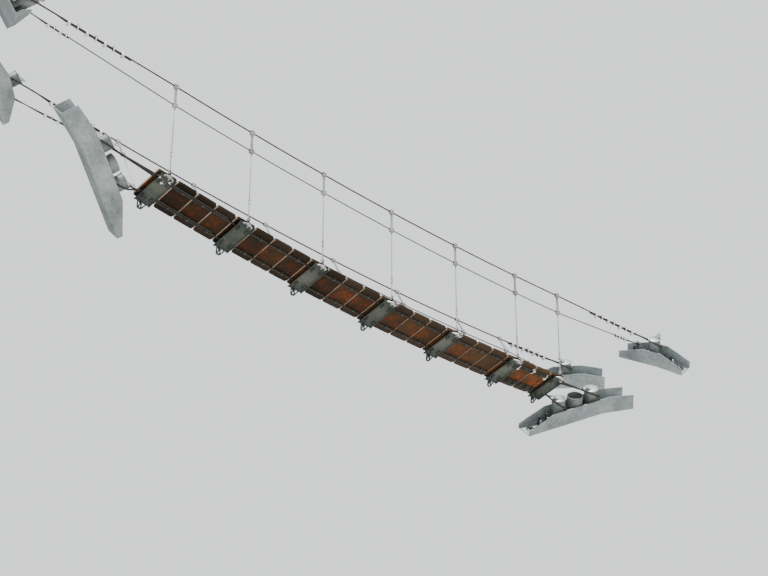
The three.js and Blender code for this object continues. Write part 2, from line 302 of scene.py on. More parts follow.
cameraView = {
    "place": (-16.184, -10.572, -13.609),
    "forward": (0.5978, 0.4799, 0.6421),
    "up": (-0.3655, -0.5497, 0.7511),
    "lens": 93.9,
    "sensor": 36,
    "farthest": 200,
}
cameraData = bpy.data.cameras.new("viewpoint")
cameraData.lens = cameraView["lens"]
cameraData.sensor_width = cameraView["sensor"]
cameraData.clip_end = cameraView["farthest"]
cameraObject = addObject("viewpoint", cameraData)
ahead = Vector(cameraView["forward"]).normalized()
right = ahead.cross(Vector(cameraView["up"])).normalized()
cameraObject.matrix_world = at(*cameraView["place"]) @ axesMatrix(right, right.cross(ahead), -ahead)
bpy.context.scene.camera = cameraObject


# Materials

def setSocket(tree, socket, value):
    if isinstance(value, bpy.types.NodeSocket):
        tree.links.new(value, socket)
    else:
        socket.default_value = value


def addNode(tree, kind, inputs=None, **settings):
    made = tree.nodes.new(kind)
    for key, value in settings.items():
        setattr(made, key, value)
    for key, value in (inputs or {}).items():
        setSocket(tree, made.inputs[key], value)
    return made


def mixColours(tree, amount, first, second, blend="MIX"):
    made = addNode(tree, "ShaderNodeMix", data_type="RGBA", blend_type=blend)
    colours = [s for s in made.inputs if s.type == "RGBA"]
    for socket, value in zip([made.inputs[0]] + colours, (amount, first, second)):
        setSocket(tree, socket, value)
    return [s for s in made.outputs if s.type == "RGBA"][0]


def spread(tree, value, low, high, toLow=0.0, toHigh=1.0):
    return addNode(tree, "ShaderNodeMapRange", {0: value, 1: low, 2: high, 3: toLow, 4: toHigh}).outputs[0]


def maths(tree, operation, *values):
    return addNode(tree, "ShaderNodeMath", dict(enumerate(values)), operation=operation).outputs[0]


def greyColour(tree, value):
    return addNode(tree, "ShaderNodeCombineColor", {0: value, 1: value, 2: value}).outputs[0]


def objectSpot(tree):
    return addNode(tree, "ShaderNodeTexCoord").outputs["Object"]


def stretched(tree, spot, scale):
    return addNode(tree, "ShaderNodeMapping", {"Vector": spot, "Scale": scale}).outputs[0]


def noiseOn(tree, spot, scale, detail, roughness=0.5):
    inputs = {"Vector": spot, "Scale": scale, "Detail": detail, "Roughness": roughness}
    return addNode(tree, "ShaderNodeTexNoise", inputs).outputs[0]


def attributeOf(tree, name):
    return addNode(tree, "ShaderNodeAttribute", attribute_name=name).outputs["Fac"]


def newTree(kind, name, ins, outs):
    tree = bpy.data.node_groups.new(name, kind)
    for label, sort, value in ins:
        socket = tree.interface.new_socket(label, in_out="INPUT", socket_type="NodeSocket" + sort)
        if value is not None:
            socket.default_value = value
    for label, sort in outs:
        tree.interface.new_socket(label, in_out="OUTPUT", socket_type="NodeSocket" + sort)
    return tree, tree.nodes.new("NodeGroupInput").outputs, tree.nodes.new("NodeGroupOutput").inputs


# Node groups for weathered zinc, which all the steel finishes share, and for sawn wood.
# Each noise is given by its scale and detail, and roughness where that isn't a half.
weatherLook = {
    "cloudNoise": (3.1, 6.0, 0.6), "gritNoise": (240.0, 3.0), "runNoise": (1.0, 4.0),
    "runStretch": (26.0, 26.0, 3.0), "dulled": (0.38, 0.66), "runs": (0.52, 0.74),
    "sparkle": (0.9, 1.1), "roughness": (-0.1, 0.12),
    "endReach": (0.07, 0.19), "endShare": 0.85, "bump": 0.25, "bumpDepth": 0.0006,
}
grainLook = {
    "stretch": (1.0, 0.14, 1.0), "fibreStretch": (260.0, 9.0, 260.0), "fibreNoise": (1.0, 5.0),
    "patchNoise": (11.0, 4.0), "distortion": 7.0, "detail": 3.0, "detailScale": 1.6,
    "rings": (0.15, 0.95), "fibres": (0.35, 0.7), "patchTone": (0.72, 1.2),
}
noiseRange = (0.3, 0.7)  # most of a noise lies between these


def makeZincGroup():
    ins = [
        ("Clean", "Color", (0.5, 0.55, 0.57, 1)), ("Dull", "Color", (0.3, 0.33, 0.34, 1)),
        ("Stain", "Color", (0.2, 0.15, 0.1, 1)), ("Stain amount", "Float", 0.3),
        ("Spangle", "Float", 60.0), ("Roughness", "Float", 0.5),
    ]
    outs = [("Colour", "Color"), ("Roughness", "Float"), ("Height", "Float")]
    tree, given, wanted = newTree("ShaderNodeTree", "zincWeather", ins, outs)
    spot = objectSpot(tree)
    cloud = noiseOn(tree, spot, *weatherLook["cloudNoise"])
    runs = noiseOn(tree, stretched(tree, spot, weatherLook["runStretch"]), *weatherLook["runNoise"])
    flakes = addNode(tree, "ShaderNodeTexVoronoi", {"Vector": spot, "Scale": given["Spangle"]})
    flakeTone = addNode(tree, "ShaderNodeSeparateColor", {"Color": flakes.outputs["Color"]}).outputs[0]
    grit = noiseOn(tree, spot, *weatherLook["gritNoise"])
    dullness = spread(tree, cloud, *weatherLook["dulled"])
    colour = mixColours(tree, dullness, given["Clean"], given["Dull"])
    sparkle = spread(tree, flakeTone, 0.0, 1.0, *weatherLook["sparkle"])
    colour = mixColours(tree, 1.0, colour, greyColour(tree, sparkle), "MULTIPLY")
    stained = maths(tree, "MULTIPLY", spread(tree, runs, *weatherLook["runs"]), given["Stain amount"])
    colour = mixColours(tree, stained, colour, given["Stain"])
    rough = spread(tree, cloud, *noiseRange, *weatherLook["roughness"])
    tree.links.new(colour, wanted["Colour"])
    tree.links.new(maths(tree, "ADD", rough, given["Roughness"]), wanted["Roughness"])
    tree.links.new(maths(tree, "ADD", grit, flakeTone), wanted["Height"])
    return tree


def makeGrainGroup():
    ins = [
        ("Early wood", "Color", (0.4, 0.13, 0.04, 1)), ("Late wood", "Color", (0.2, 0.06, 0.02, 1)),
        ("Ring spacing", "Float", 26.0), ("Shift", "Float", 0.0),
    ]
    outs = [("Colour", "Color"), ("Streak", "Float"), ("Height", "Float")]
    tree, given, wanted = newTree("ShaderNodeTree", "woodGrain", ins, outs)
    moved = addNode(tree, "ShaderNodeCombineXYZ", {i: given["Shift"] for i in range(3)}).outputs[0]
    terms = {0: objectSpot(tree), 1: moved}
    placed = addNode(tree, "ShaderNodeVectorMath", terms, operation="ADD").outputs[0]
    long = stretched(tree, placed, grainLook["stretch"])
    waves = {
        "Vector": long, "Scale": given["Ring spacing"], "Distortion": grainLook["distortion"],
        "Detail": grainLook["detail"], "Detail Scale": grainLook["detailScale"],
    }
    rings = addNode(tree, "ShaderNodeTexWave", waves, wave_type="BANDS", bands_direction="X").outputs[1]
    fibres = noiseOn(tree, stretched(tree, placed, grainLook["fibreStretch"]), *grainLook["fibreNoise"])
    patches = noiseOn(tree, long, *grainLook["patchNoise"])
    ringMask = spread(tree, rings, *grainLook["rings"])
    late = maths(tree, "MULTIPLY", ringMask, spread(tree, fibres, *grainLook["fibres"]))
    colour = mixColours(tree, late, given["Early wood"], given["Late wood"])
    patchTone = spread(tree, patches, *noiseRange, *grainLook["patchTone"])
    colour = mixColours(tree, 1.0, colour, greyColour(tree, patchTone), "MULTIPLY")
    tree.links.new(colour, wanted["Colour"])
    tree.links.new(patches, wanted["Streak"])
    tree.links.new(maths(tree, "ADD", fibres, ringMask), wanted["Height"])
    return tree


zincGroup = makeZincGroup()
grainGroup = makeGrainGroup()


def emptyMaterial(name):
    material = bpy.data.materials.new(name)
    material.use_nodes = True
    material.node_tree.nodes.clear()
    return material, material.node_tree


def newMaterial(name):
    material, tree = emptyMaterial(name)
    shader = tree.nodes.new("ShaderNodeBsdfPrincipled")
    addNode(tree, "ShaderNodeOutputMaterial", {0: shader.outputs[0]})
    return material, tree, shader


def addBump(tree, shader, height, look):
    inputs = {"Height": height, "Strength": look["bump"], "Distance": look["bumpDepth"]}
    bump = addNode(tree, "ShaderNodeBump", inputs)
    tree.links.new(bump.outputs[0], shader.inputs["Normal"])


def reachFromMiddle(tree):
    across = addNode(tree, "ShaderNodeSeparateXYZ", {0: objectSpot(tree)}).outputs[1]
    return maths(tree, "ABSOLUTE", maths(tree, "SUBTRACT", across, shift.y))


def makeZinc(name, clean, dull, stain, stainAmount, spangle, roughness, metallic, ends=None):
    material, tree, shader = newMaterial(name)
    values = {
        "Clean": (*clean, 1), "Dull": (*dull, 1), "Stain": (*stain, 1),
        "Stain amount": stainAmount, "Spangle": spangle, "Roughness": roughness,
    }
    group = addNode(tree, "ShaderNodeGroup", values, node_tree=zincGroup)
    colour = group.outputs["Colour"]
    if ends:
        outside = spread(tree, reachFromMiddle(tree), *weatherLook["endReach"], 0.0, weatherLook["endShare"])
        colour = mixColours(tree, outside, colour, (*ends, 1))
    tree.links.new(colour, shader.inputs["Base Color"])
    tree.links.new(group.outputs["Roughness"], shader.inputs["Roughness"])
    shader.inputs["Metallic"].default_value = metallic
    addBump(tree, shader, group.outputs["Height"], weatherLook)
    return material


zincFinishes = {
    "anchorZinc": dict(
        clean=(0.31, 0.365, 0.385), dull=(0.17, 0.21, 0.225), stain=(0.1, 0.1, 0.09),
        stainAmount=0.5, spangle=70, roughness=0.5, metallic=0.3,
    ),
    # Bollard stems are painted darker than the trough (painted shade), and lids, caps and horns lighter
    # (painted light on the faces turned to the sky).
    "postZincShaded": dict(
        clean=(0.2, 0.23, 0.235), dull=(0.1, 0.12, 0.125), stain=(0.06, 0.06, 0.055),
        stainAmount=0.6, spangle=70, roughness=0.55, metallic=0.3,
    ),
    "lidZincLit": dict(
        clean=(0.5, 0.56, 0.57), dull=(0.27, 0.32, 0.33), stain=(0.16, 0.15, 0.13),
        stainAmount=0.5, spangle=90, roughness=0.45, metallic=0.3,
    ),
    "plateZinc": dict(
        clean=(0.08, 0.092, 0.078), dull=(0.03, 0.042, 0.035), stain=(0.018, 0.024, 0.019),
        stainAmount=0.35, spangle=40, roughness=0.5, metallic=0.2, ends=(0.018, 0.03, 0.026),
    ),
    "hangerZinc": dict(
        clean=(0.5, 0.53, 0.54), dull=(0.3, 0.32, 0.33), stain=(0.16, 0.14, 0.12),
        stainAmount=0.4, spangle=140, roughness=0.4, metallic=0.3,
    ),
    "brightZinc": dict(
        clean=(0.85, 0.87, 0.88), dull=(0.62, 0.64, 0.66), stain=(0.3, 0.28, 0.25),
        stainAmount=0.2, spangle=200, roughness=0.34, metallic=0.3,
    ),
    # Dark steel for saddles, washers and clips, also used as painted shade for the far plate loops and every
    # other tall stud.
    "darkSteelAndShade": dict(
        clean=(0.06, 0.07, 0.08), dull=(0.03, 0.035, 0.04), stain=(0.07, 0.045, 0.03),
        stainAmount=0.5, spangle=200, roughness=0.45, metallic=0.5,
    ),
}
zinc = {name: makeZinc(name, **finish) for name, finish in zincFinishes.items()}

timberLook = {
    "earlyWood": (0.045, 0.027, 0.011), "lateWood": (0.017, 0.011, 0.005), "ringSpacing": 24.0,
    "grainApart": 9.0,  # how far each board's tone moves it along the grain
    "glow": (0.21, 0.038, 0.004), "glowAmount": (0.15, 0.9), "glowReach": (0.03, 0.15),
    "cloudNoise": (7.5, 3.0), "clouds": (0.42, 0.62), "speckNoise": (24.0, 4.0), "specks": (0.42, 0.6),
    "leastSpecks": 0.3, "leastOfBoard": 0.35, "topGlow": 0.12,
    "endShadeColour": (0.036, 0.022, 0.013), "endReach": (0.07, 0.17), "endShadeAmount": 0.8, "endWander": 0.03,
    "toneAndShadeScale": (0.06, 1.75), "wornColour": (0.14, 0.1, 0.07), "wornShare": (0.35, 0.8),
    "sunlitSideColour": (0.42, 0.34, 0.27), "sunlitSideAmount": 0.6,
    "roughness": (0.6, 0.7), "shine": 0.15, "bump": 0.4, "bumpDepth": 0.0008,
}


def makeTimber():
    look = timberLook
    material, tree, shader = newMaterial("stainedTimber")
    tone, topFace = attributeOf(tree, "boardToneAndShade"), attributeOf(tree, "topFace")
    far = maths(tree, "MULTIPLY", tone, look["grainApart"])
    values = {
        "Early wood": (*look["earlyWood"], 1), "Late wood": (*look["lateWood"], 1),
        "Ring spacing": look["ringSpacing"], "Shift": far,
    }
    group = addNode(tree, "ShaderNodeGroup", values, node_tree=grainGroup)
    streak = group.outputs["Streak"]
    spot = objectSpot(tree)
    wander = spread(tree, streak, *noiseRange, -look["endWander"], look["endWander"])
    reach = maths(tree, "ADD", reachFromMiddle(tree), wander)
    chance = addNode(tree, "ShaderNodeTexWhiteNoise", {"W": far}, noise_dimensions="1D").outputs["Value"]
    specks = noiseOn(tree, spot, *look["speckNoise"])
    warm = spread(tree, noiseOn(tree, spot, *look["cloudNoise"]), *look["clouds"], *look["glowAmount"])
    # The glowReach share fades the orange out towards both ends of each board, as part of the painted shade
    # at the board ends.
    shares = [
        spread(tree, specks, *look["specks"], look["leastSpecks"], 1.0),
        spread(tree, reach, *look["glowReach"], 1.0, 0.0),
        spread(tree, chance, 0.0, 1.0, look["leastOfBoard"], 1.0),
        spread(tree, topFace, 0.0, 1.0, 1.0, look["topGlow"]),
    ]
    for share in shares:
        warm = maths(tree, "MULTIPLY", warm, share)
    colour = mixColours(tree, warm, group.outputs["Colour"], (*look["glow"], 1))
    # Both ends of each board, beyond the cables, are painted darker: painted shade from the cables and
    # straps.
    ends = spread(tree, reach, *look["endReach"], 0.0, look["endShadeAmount"])
    colour = mixColours(tree, ends, colour, (*look["endShadeColour"], 1))
    # Boards darker to the left and lighter to the right: painted shade and painted light, on top of each
    # board's random tone.
    toneAndShadeScale = spread(tree, tone, 0.0, 1.0, *look["toneAndShadeScale"])
    colour = mixColours(tree, 1.0, colour, greyColour(tree, toneAndShadeScale), "MULTIPLY")
    worn = maths(tree, "MULTIPLY", topFace, spread(tree, streak, *noiseRange, *look["wornShare"]))
    colour = mixColours(tree, worn, colour, (*look["wornColour"], 1))
    # Side faces between boards are painted a light wood colour: painted sunlight shining into the gaps.
    sunlitSide = maths(tree, "MULTIPLY", attributeOf(tree, "sunlitSideFace"), look["sunlitSideAmount"])
    colour = mixColours(tree, sunlitSide, colour, (*look["sunlitSideColour"], 1))
    tree.links.new(colour, shader.inputs["Base Color"])
    tree.links.new(spread(tree, streak, *noiseRange, *look["roughness"]), shader.inputs["Roughness"])
    shader.inputs["Specular IOR Level"].default_value = look["shine"]
    addBump(tree, shader, group.outputs["Height"], look)
    return material


ropeLook = {
    "crown": (0.055, 0.054, 0.05), "shadedValley": (0.016, 0.016, 0.015), "litCrest": (0.6, 1.0),
    "wiresAlong": 900.0, "wiresAround": 60.0,
    "grimeNoise": (9.0, 5.0), "grime": (0.35, 0.75), "grimeLeast": 0.45,
    "metallic": 0.5, "roughness": (0.38, 0.63), "bump": 0.35, "bumpDepth": 0.0006,
}


def makeRopeMaterial():
    look = ropeLook
    material, tree, shader = newMaterial("laidWire")
    laid = maths(tree, "MULTIPLY", attributeOf(tree, "ropeLength"), look["wiresAlong"])
    wound = maths(tree, "MULTIPLY", attributeOf(tree, "ropeTurn"), look["wiresAround"])
    wires = maths(tree, "SINE", maths(tree, "ADD", laid, wound))
    grime = noiseOn(tree, objectSpot(tree), *look["grimeNoise"])
    # Strand crowns are painted lighter and the valleys between strands darker: painted highlight and painted
    # shade. The grime noise dims the crowns as real dirt.
    litCrest = spread(tree, attributeOf(tree, "strandRise"), *look["litCrest"])
    lit = maths(tree, "MULTIPLY", litCrest, spread(tree, grime, *look["grime"], 1.0, look["grimeLeast"]))
    colour = mixColours(tree, lit, (*look["shadedValley"], 1), (*look["crown"], 1))
    tree.links.new(colour, shader.inputs["Base Color"])
    tree.links.new(spread(tree, grime, *noiseRange, *look["roughness"]), shader.inputs["Roughness"])
    shader.inputs["Metallic"].default_value = look["metallic"]
    addBump(tree, shader, wires, look)
    return material


timber = makeTimber()
ropeMaterial = makeRopeMaterial()
print("materials made")


# Geometry Nodes trees: one lays a rope along a path, the other sets copies at marked places

def newGeometryTree(name, ins):
    ins = [("Geometry", "Geometry", None)] + ins
    tree, given, wanted = newTree("GeometryNodeTree", name, ins, [("Geometry", "Geometry")])
    tree.is_modifier = True
    return tree, given, wanted


def storeOn(tree, geometry, name, value):
    made = addNode(
        tree, "GeometryNodeStoreNamedAttribute", {"Geometry": geometry, "Name": name},
        data_type="FLOAT", domain="POINT",
    )
    socket = next(s for s in made.inputs if s.name == "Value" and s.enabled)
    tree.links.new(value, socket)
    return made.outputs[0]


def endTree(tree, geometry, material, wanted):
    real = addNode(tree, "GeometryNodeRealizeInstances", {0: geometry}).outputs[0]
    done = addNode(tree, "GeometryNodeSetMaterial", {"Geometry": real, "Material": material}).outputs[0]
    tree.links.new(done, wanted[0])


def makeRopeTree():
    ins = [
        ("Rope radius", "Float", 0.01), ("Strands", "Int", 6), ("Points per strand", "Int", 4),
        ("Lay length", "Float", 0.13), ("Step", "Float", 0.01), ("Material", "Material", None),
    ]
    tree, given, wanted = newGeometryTree("laidRope", ins)
    line = addNode(tree, "GeometryNodeMeshToCurve", {0: given["Geometry"]}).outputs[0]
    even = addNode(tree, "GeometryNodeResampleCurve", {"Curve": line, "Length": given["Step"]}, mode="LENGTH")
    length = addNode(tree, "GeometryNodeSplineParameter").outputs["Length"]
    stored = storeOn(tree, even.outputs[0], "ropeLength", length)
    twist = maths(tree, "DIVIDE", length, given["Lay length"])
    twist = maths(tree, "MULTIPLY", twist, 2 * math.pi)
    tilted = addNode(tree, "GeometryNodeSetCurveTilt", {"Curve": stored, "Tilt": twist}).outputs[0]
    around = maths(tree, "MULTIPLY", given["Strands"], given["Points per strand"])
    circle = addNode(
        tree, "GeometryNodeCurvePrimitiveCircle", {"Resolution": around, "Radius": 1.0}, mode="RADIUS",
    )
    index = addNode(tree, "GeometryNodeInputIndex").outputs[0]
    share = maths(tree, "DIVIDE", index, given["Points per strand"])
    part = maths(tree, "SUBTRACT", maths(tree, "FRACT", share), 0.5)
    angle = maths(tree, "MULTIPLY", part, maths(tree, "DIVIDE", 2 * math.pi, given["Strands"]))
    middle = 2 / 3  # a strand's centre and its radius, as shares of the rope's radius
    strand = 1 / 3
    offCentre = maths(tree, "MULTIPLY", maths(tree, "SINE", angle), middle)
    inside = maths(tree, "SUBTRACT", strand ** 2, maths(tree, "MULTIPLY", offCentre, offCentre))
    rise = maths(tree, "SQRT", maths(tree, "MAXIMUM", inside, 0.0))
    rise = maths(tree, "ADD", rise, maths(tree, "MULTIPLY", maths(tree, "COSINE", angle), middle))
    marked = storeOn(tree, circle.outputs[0], "strandRise", rise)
    marked = storeOn(tree, marked, "ropeTurn", share)
    size = maths(tree, "MULTIPLY", rise, given["Rope radius"])
    where = addNode(tree, "GeometryNodeInputPosition").outputs[0]
    scaled = addNode(tree, "ShaderNodeVectorMath", {0: where, "Scale": size}, operation="SCALE").outputs[0]
    section = addNode(tree, "GeometryNodeSetPosition", {"Geometry": marked, "Position": scaled}).outputs[0]
    swept = addNode(
        tree, "GeometryNodeCurveToMesh", {"Curve": tilted, "Profile Curve": section, "Fill Caps": True},
    ).outputs[0]
    soft = addNode(tree, "GeometryNodeSetShadeSmooth", {0: swept}).outputs[0]
    endTree(tree, soft, given["Material"], wanted)
    return tree


def vectorAttribute(tree, name):
    made = addNode(tree, "GeometryNodeInputNamedAttribute", {"Name": name}, data_type="FLOAT_VECTOR")
    return made.outputs[0]


def makeCopiesTree():
    ins = [
        ("Part", "Object", None), ("Size", "Float", 1.0), ("Turn spread", "Float", 0.0),
        ("Seed", "Int", 1), ("Material", "Material", None),
    ]
    tree, given, wanted = newGeometryTree("copiesAtPlaces", ins)
    part = addNode(tree, "GeometryNodeObjectInfo", {"Object": given["Part"]}, transform_space="ORIGINAL")
    axes = {0: vectorAttribute(tree, "aim"), 1: vectorAttribute(tree, "side")}
    facing = addNode(
        tree, "FunctionNodeAxesToRotation", axes, primary_axis="Z", secondary_axis="X",
    ).outputs[0]
    back = maths(tree, "MULTIPLY", given["Turn spread"], -1.0)
    chance = addNode(
        tree, "FunctionNodeRandomValue", {2: back, 3: given["Turn spread"], "Seed": given["Seed"]},
        data_type="FLOAT",
    )
    chanceValue = next(s for s in chance.outputs if s.enabled)
    spin = addNode(tree, "FunctionNodeAxisAngleToRotation", {0: (0, 0, 1), 1: chanceValue}).outputs[0]
    whole = addNode(tree, "FunctionNodeRotateRotation", {0: facing, 1: spin}, rotation_space="LOCAL")
    copies = addNode(
        tree, "GeometryNodeInstanceOnPoints",
        {"Points": given["Geometry"], "Instance": part.outputs["Geometry"], "Rotation": whole.outputs[0]},
    )
    tree.links.new(given["Size"], copies.inputs["Scale"])
    endTree(tree, copies.outputs[0], given["Material"], wanted)
    return tree


ropeTree = makeRopeTree()
copiesTree = makeCopiesTree()


def runTree(tree, mesh, values):
    carrier = addObject("carrier", mesh)
    modifier = carrier.modifiers.new("nodes", "NODES")
    modifier.node_group = tree
    sockets = {s.name: s.identifier for s in tree.interface.items_tree if s.in_out == "INPUT"}
    for label, value in values.items():
        modifier[sockets[label]] = value
    depsgraph = bpy.context.evaluated_depsgraph_get()
    made = bpy.data.meshes.new_from_object(carrier.evaluated_get(depsgraph), depsgraph=depsgraph)
    carrier.modifiers.remove(modifier)
    bpy.data.objects.remove(carrier)
    return made


def makeCopies(partMesh, where, material, spreadTurn=0.0, seed=1):
    points = bpy.data.meshes.new("points")
    points.from_pydata([spot[0] for spot in where], [], [])
    for label, place in (("aim", 1), ("side", 2)):
        attribute = points.attributes.new(label, "FLOAT_VECTOR", "POINT")
        attribute.data.foreach_set("vector", [v for spot in where for v in spot[place]])
    pattern = addObject("pattern", partMesh)
    values = {"Part": pattern, "Size": 1.0, "Turn spread": spreadTurn, "Seed": seed, "Material": material}
    made = runTree(copiesTree, points, values)
    bpy.data.objects.remove(pattern)
    return made


# Boards

boardShape = {
    "length": 0.236, "width": 0.41, "thickness": 0.04, "corner": 0.022, "edge": 0.004,
    "lift": 0.0106, "cellsAlong": 10, "cellsAcross": 18, "sunlitFrom": 0.006, "facing": 0.8, "facingAcross": 0.5,
}
boardWear = {
    "apart": 3.7, "rippleScale": 14, "ripple": 0.0007, "cup": 0.0008, "nibbleScale": 9, "nibble": 0.008,
}
# Each board's tone: a random spread plus a rise from left to right, which is painted shade on the left-hand
# bays and painted light on the right-hand ones.
boardTonesWithShadeRamp = [
    0.3, 0.12, 0.2, 0.34, 0.1, 0.24, 0.4, 0.28, 0.46, 0.22, 0.5, 0.38,
    0.55, 0.42, 0.62, 0.5, 0.7, 0.56, 0.66, 0.6, 0.78, 0.7, 0.9, 0.82,
]


def onBoard(x, lift):
    tilt = deckSlope(x)
    centre = Vector((x - lift * math.sin(tilt), 0, deckLine(x) + lift * math.cos(tilt)))
    return Matrix.Translation(centre + shift) @ Matrix.Rotation(-tilt, 4, "Y")


def boardPoint(s, t, inset):
    halfLength = boardShape["length"] / 2 - inset
    halfWidth = boardShape["width"] / 2 - inset
    corner = boardShape["corner"] - inset
    x, y = s * halfLength, t * halfWidth
    overX = abs(x) - (halfLength - corner)
    overY = abs(y) - (halfWidth - corner)
    if overX > 0 and overY > 0:
        scale = max(overX, overY) / math.hypot(overX, overY)
        x = math.copysign(halfLength - corner + overX * scale, x)
        y = math.copysign(halfWidth - corner + overY * scale, y)
    return x, y


def boardGrid(count, half, corner):
    inner = half - corner
    steps = [0, corner * 0.5]
    body = [corner + 2 * inner * i / (count - 4) for i in range(count - 3)]
    places = steps + body + [2 * half - corner * 0.5, 2 * half]
    return [p / half - 1 for p in places]


def wearBoard(shape, index):
    for vert in shape.verts:
        spot = vert.co + xAxis * (index * boardWear["apart"])
        ripple = abs(noise.noise(spot * boardWear["rippleScale"])) * boardWear["ripple"]
        if vert.co.z > boardShape["thickness"] / 2:
            vert.co.z -= ripple + boardWear["cup"] * (2 * vert.co.y / boardShape["width"]) ** 2
        else:
            vert.co.z += ripple
        nibble = 1 - abs(noise.noise(spot * boardWear["nibbleScale"])) * boardWear["nibble"]
        vert.co.x *= nibble
        vert.co.y *= nibble


def markMesh(mesh, name, domain, values):
    attribute = mesh.attributes.new(name, "FLOAT", domain)
    attribute.data.foreach_set("value", [float(value) for value in values])


def markBoard(mesh, tone, place):
    foot, up = place.col[3].to_3d(), place.col[2].to_3d()
    facing = boardShape["facing"]
    # Faces between boards, above a low band, are marked for painted sunlight, which the timber material
    # paints lighter.
    sunlitSide = []
    for face in mesh.polygons:
        upright = abs(face.normal.dot(up)) < facing
        alongFace = abs(face.normal.y) < boardShape["facingAcross"]
        sunlitSide.append(upright and alongFace and (face.center - foot).dot(up) > boardShape["sunlitFrom"])
    markMesh(mesh, "boardToneAndShade", "POINT", [tone] * len(mesh.vertices))
    markMesh(mesh, "topFace", "FACE", [face.normal.dot(up) > facing for face in mesh.polygons])
    markMesh(mesh, "sunlitSideFace", "FACE", sunlitSide)


def makeBoard(index, x, tone):
    shape = bmesh.new()
    edge = boardShape["edge"]
    high = boardShape["thickness"]
    alongs = boardGrid(boardShape["cellsAlong"], boardShape["length"] / 2, boardShape["corner"])
    acrosses = boardGrid(boardShape["cellsAcross"], boardShape["width"] / 2, boardShape["corner"])
    last, wide = len(alongs) - 1, len(acrosses) - 1
    rim = [(i, 0) for i in range(last)] + [(last, j) for j in range(wide)]
    rim += [(i, wide) for i in range(last, 0, -1)] + [(0, j) for j in range(wide, 0, -1)]

    def cornerAt(i, j, z, inset):
        return shape.verts.new((*boardPoint(alongs[i], acrosses[j], inset), z))

    sheets = []
    for level in (0, high):
        sheet = [[cornerAt(i, j, level, edge) for j in range(wide + 1)] for i in range(last + 1)]
        sheets.append(sheet)
    for sheet in sheets:
        for i in range(last):
            for j in range(wide):
                shape.faces.new((sheet[i][j], sheet[i + 1][j], sheet[i + 1][j + 1], sheet[i][j + 1]))
    rounding = edge * roundShare
    levels = [(rounding, rounding), (edge, 0), (boardShape["sunlitFrom"], 0)]
    levels += [(high - edge, 0), (high - rounding, rounding)]
    rings = [[cornerAt(i, j, z, inset) for i, j in rim] for z, inset in levels]
    bottom, top = ([sheet[i][j] for i, j in rim] for sheet in sheets)
    bridgeRings(shape, [bottom, *rings, top])
    wearBoard(shape, index)
    place = onBoard(x, boardShape["lift"])
    target = bmesh.new()
    addShape(target, shape, place)
    piece = finishPiece(f"board_{index:02d}", target, timber, [f"deck_board_{index:02d}"])
    markBoard(piece.data, tone, place)


boardPlaces = [number * layout["boardPitch"] - halfSpan for number in range(len(boardTonesWithShadeRamp))]
for number, (x, tone) in enumerate(zip(boardPlaces, boardTonesWithShadeRamp), 1):
    makeBoard(number, x, tone)
print("boards made:", len(boardPlaces))

saddleShape = {
    "strapWidth": 0.018, "strapThickness": 0.003, "flange": 0.016, "ropeRadius": 0.01,
    "boltAcross": 0.021, "boltDiameter": 0.006, "boltTail": 0.013, "nut": (0.01, 0.007),
    "head": 0.009, "headSink": 0.001,
    "dome": [(0, -0.002), (1, -0.002), (0.85, 0.002), (0.5, 0.0035), (0, 0.004)],
}


def addStrap(target, line, half, thick):
    shape = bmesh.new()
    loops = []
    for before, point, after in zip([line[0]] + line, line, line[1:] + [line[-1]]):
        ahead = (after - before).normalized()
        out = Vector((0, -ahead.z, ahead.y)) * thick
        corners = [(-half, 1), (half, 1), (half, -1), (-half, -1)]
        loops.append([shape.verts.new(point + out * side + xAxis * x) for x, side in corners])
    bridgeRings(shape, loops)
    shape.faces.new(loops[0][::-1])
    shape.faces.new(loops[-1])
    addShape(target, shape, Matrix.Identity(4))


def makeSaddlePattern():
    target = bmesh.new()
    thick = saddleShape["strapThickness"] / 2
    radius = saddleShape["ropeRadius"] + thick
    top = saddleShape["ropeRadius"] - thick
    reach = radius + saddleShape["flange"]
    bend = arcPoints(Vector(), radius, 180, 360, 10, yAxis, zAxis)
    line = [Vector((0, -reach, top)), Vector((0, -radius, top))] + bend
    line += [Vector((0, radius, top)), Vector((0, reach, top))]
    addStrap(target, line, saddleShape["strapWidth"] / 2, thick)
    crown = top + boardShape["thickness"] + 2 * thick - saddleShape["headSink"]
    dome = [(saddleShape["head"] * share, crown + rise) for share, rise in saddleShape["dome"]]
    tail = top - thick - saddleShape["boltTail"]
    shank = discProfile(saddleShape["boltDiameter"] / 2, tail, top, edge=0.001)
    across, height = saddleShape["nut"]
    for side in (-1, 1):
        spot = at(0, side * saddleShape["boltAcross"], 0)
        hexNut(target, across, height, spot @ at(0, 0, top - thick - height))
        addTurned(target, shank, spot, sides=10)
        addTurned(target, dome, spot, sides=14)
    return smoothMesh("saddle", target)


def boardFrame(x):
    tilt = deckSlope(x)
    return Vector((math.cos(tilt), 0, math.sin(tilt))), Vector((-math.sin(tilt), 0, math.cos(tilt)))


def cableSpots(xs, steps=(0,)):
    spots = []
    for x in xs:
        ahead, up = boardFrame(x)
        for side in (-1, 1):
            centre = deckPoint(x, side) + shift
            spots += [(centre + ahead * step, up, ahead) for step in steps]
    return spots


saddlePlaces = [x for x in boardPlaces if min(abs(x - station) for station in stations) > 0.01]
saddles = makeCopies(makeSaddlePattern(), cableSpots(saddlePlaces), zinc["darkSteelAndShade"])
placePiece("board_saddles", saddles)


# Cross plates: a folded plate under the cables, with an ear at each end for a hanger

plateShape = {
    "length": 0.184, "width": 0.432, "thickness": 0.008, "lip": 0.022, "lipThickness": 0.006,
    "fold": 0.007, "foldAngles": (0.4, 0.8, 1.2), "innerFold": 0.003, "top": -0.0106,
    "earThickness": 0.01, "earWidth": 0.032, "earReach": 0.048,
    "bead": 0.0035, "beadDrop": 0.036, "beadLength": 0.028, "beadOut": 0.002, "beadWave": 0.0008,
}


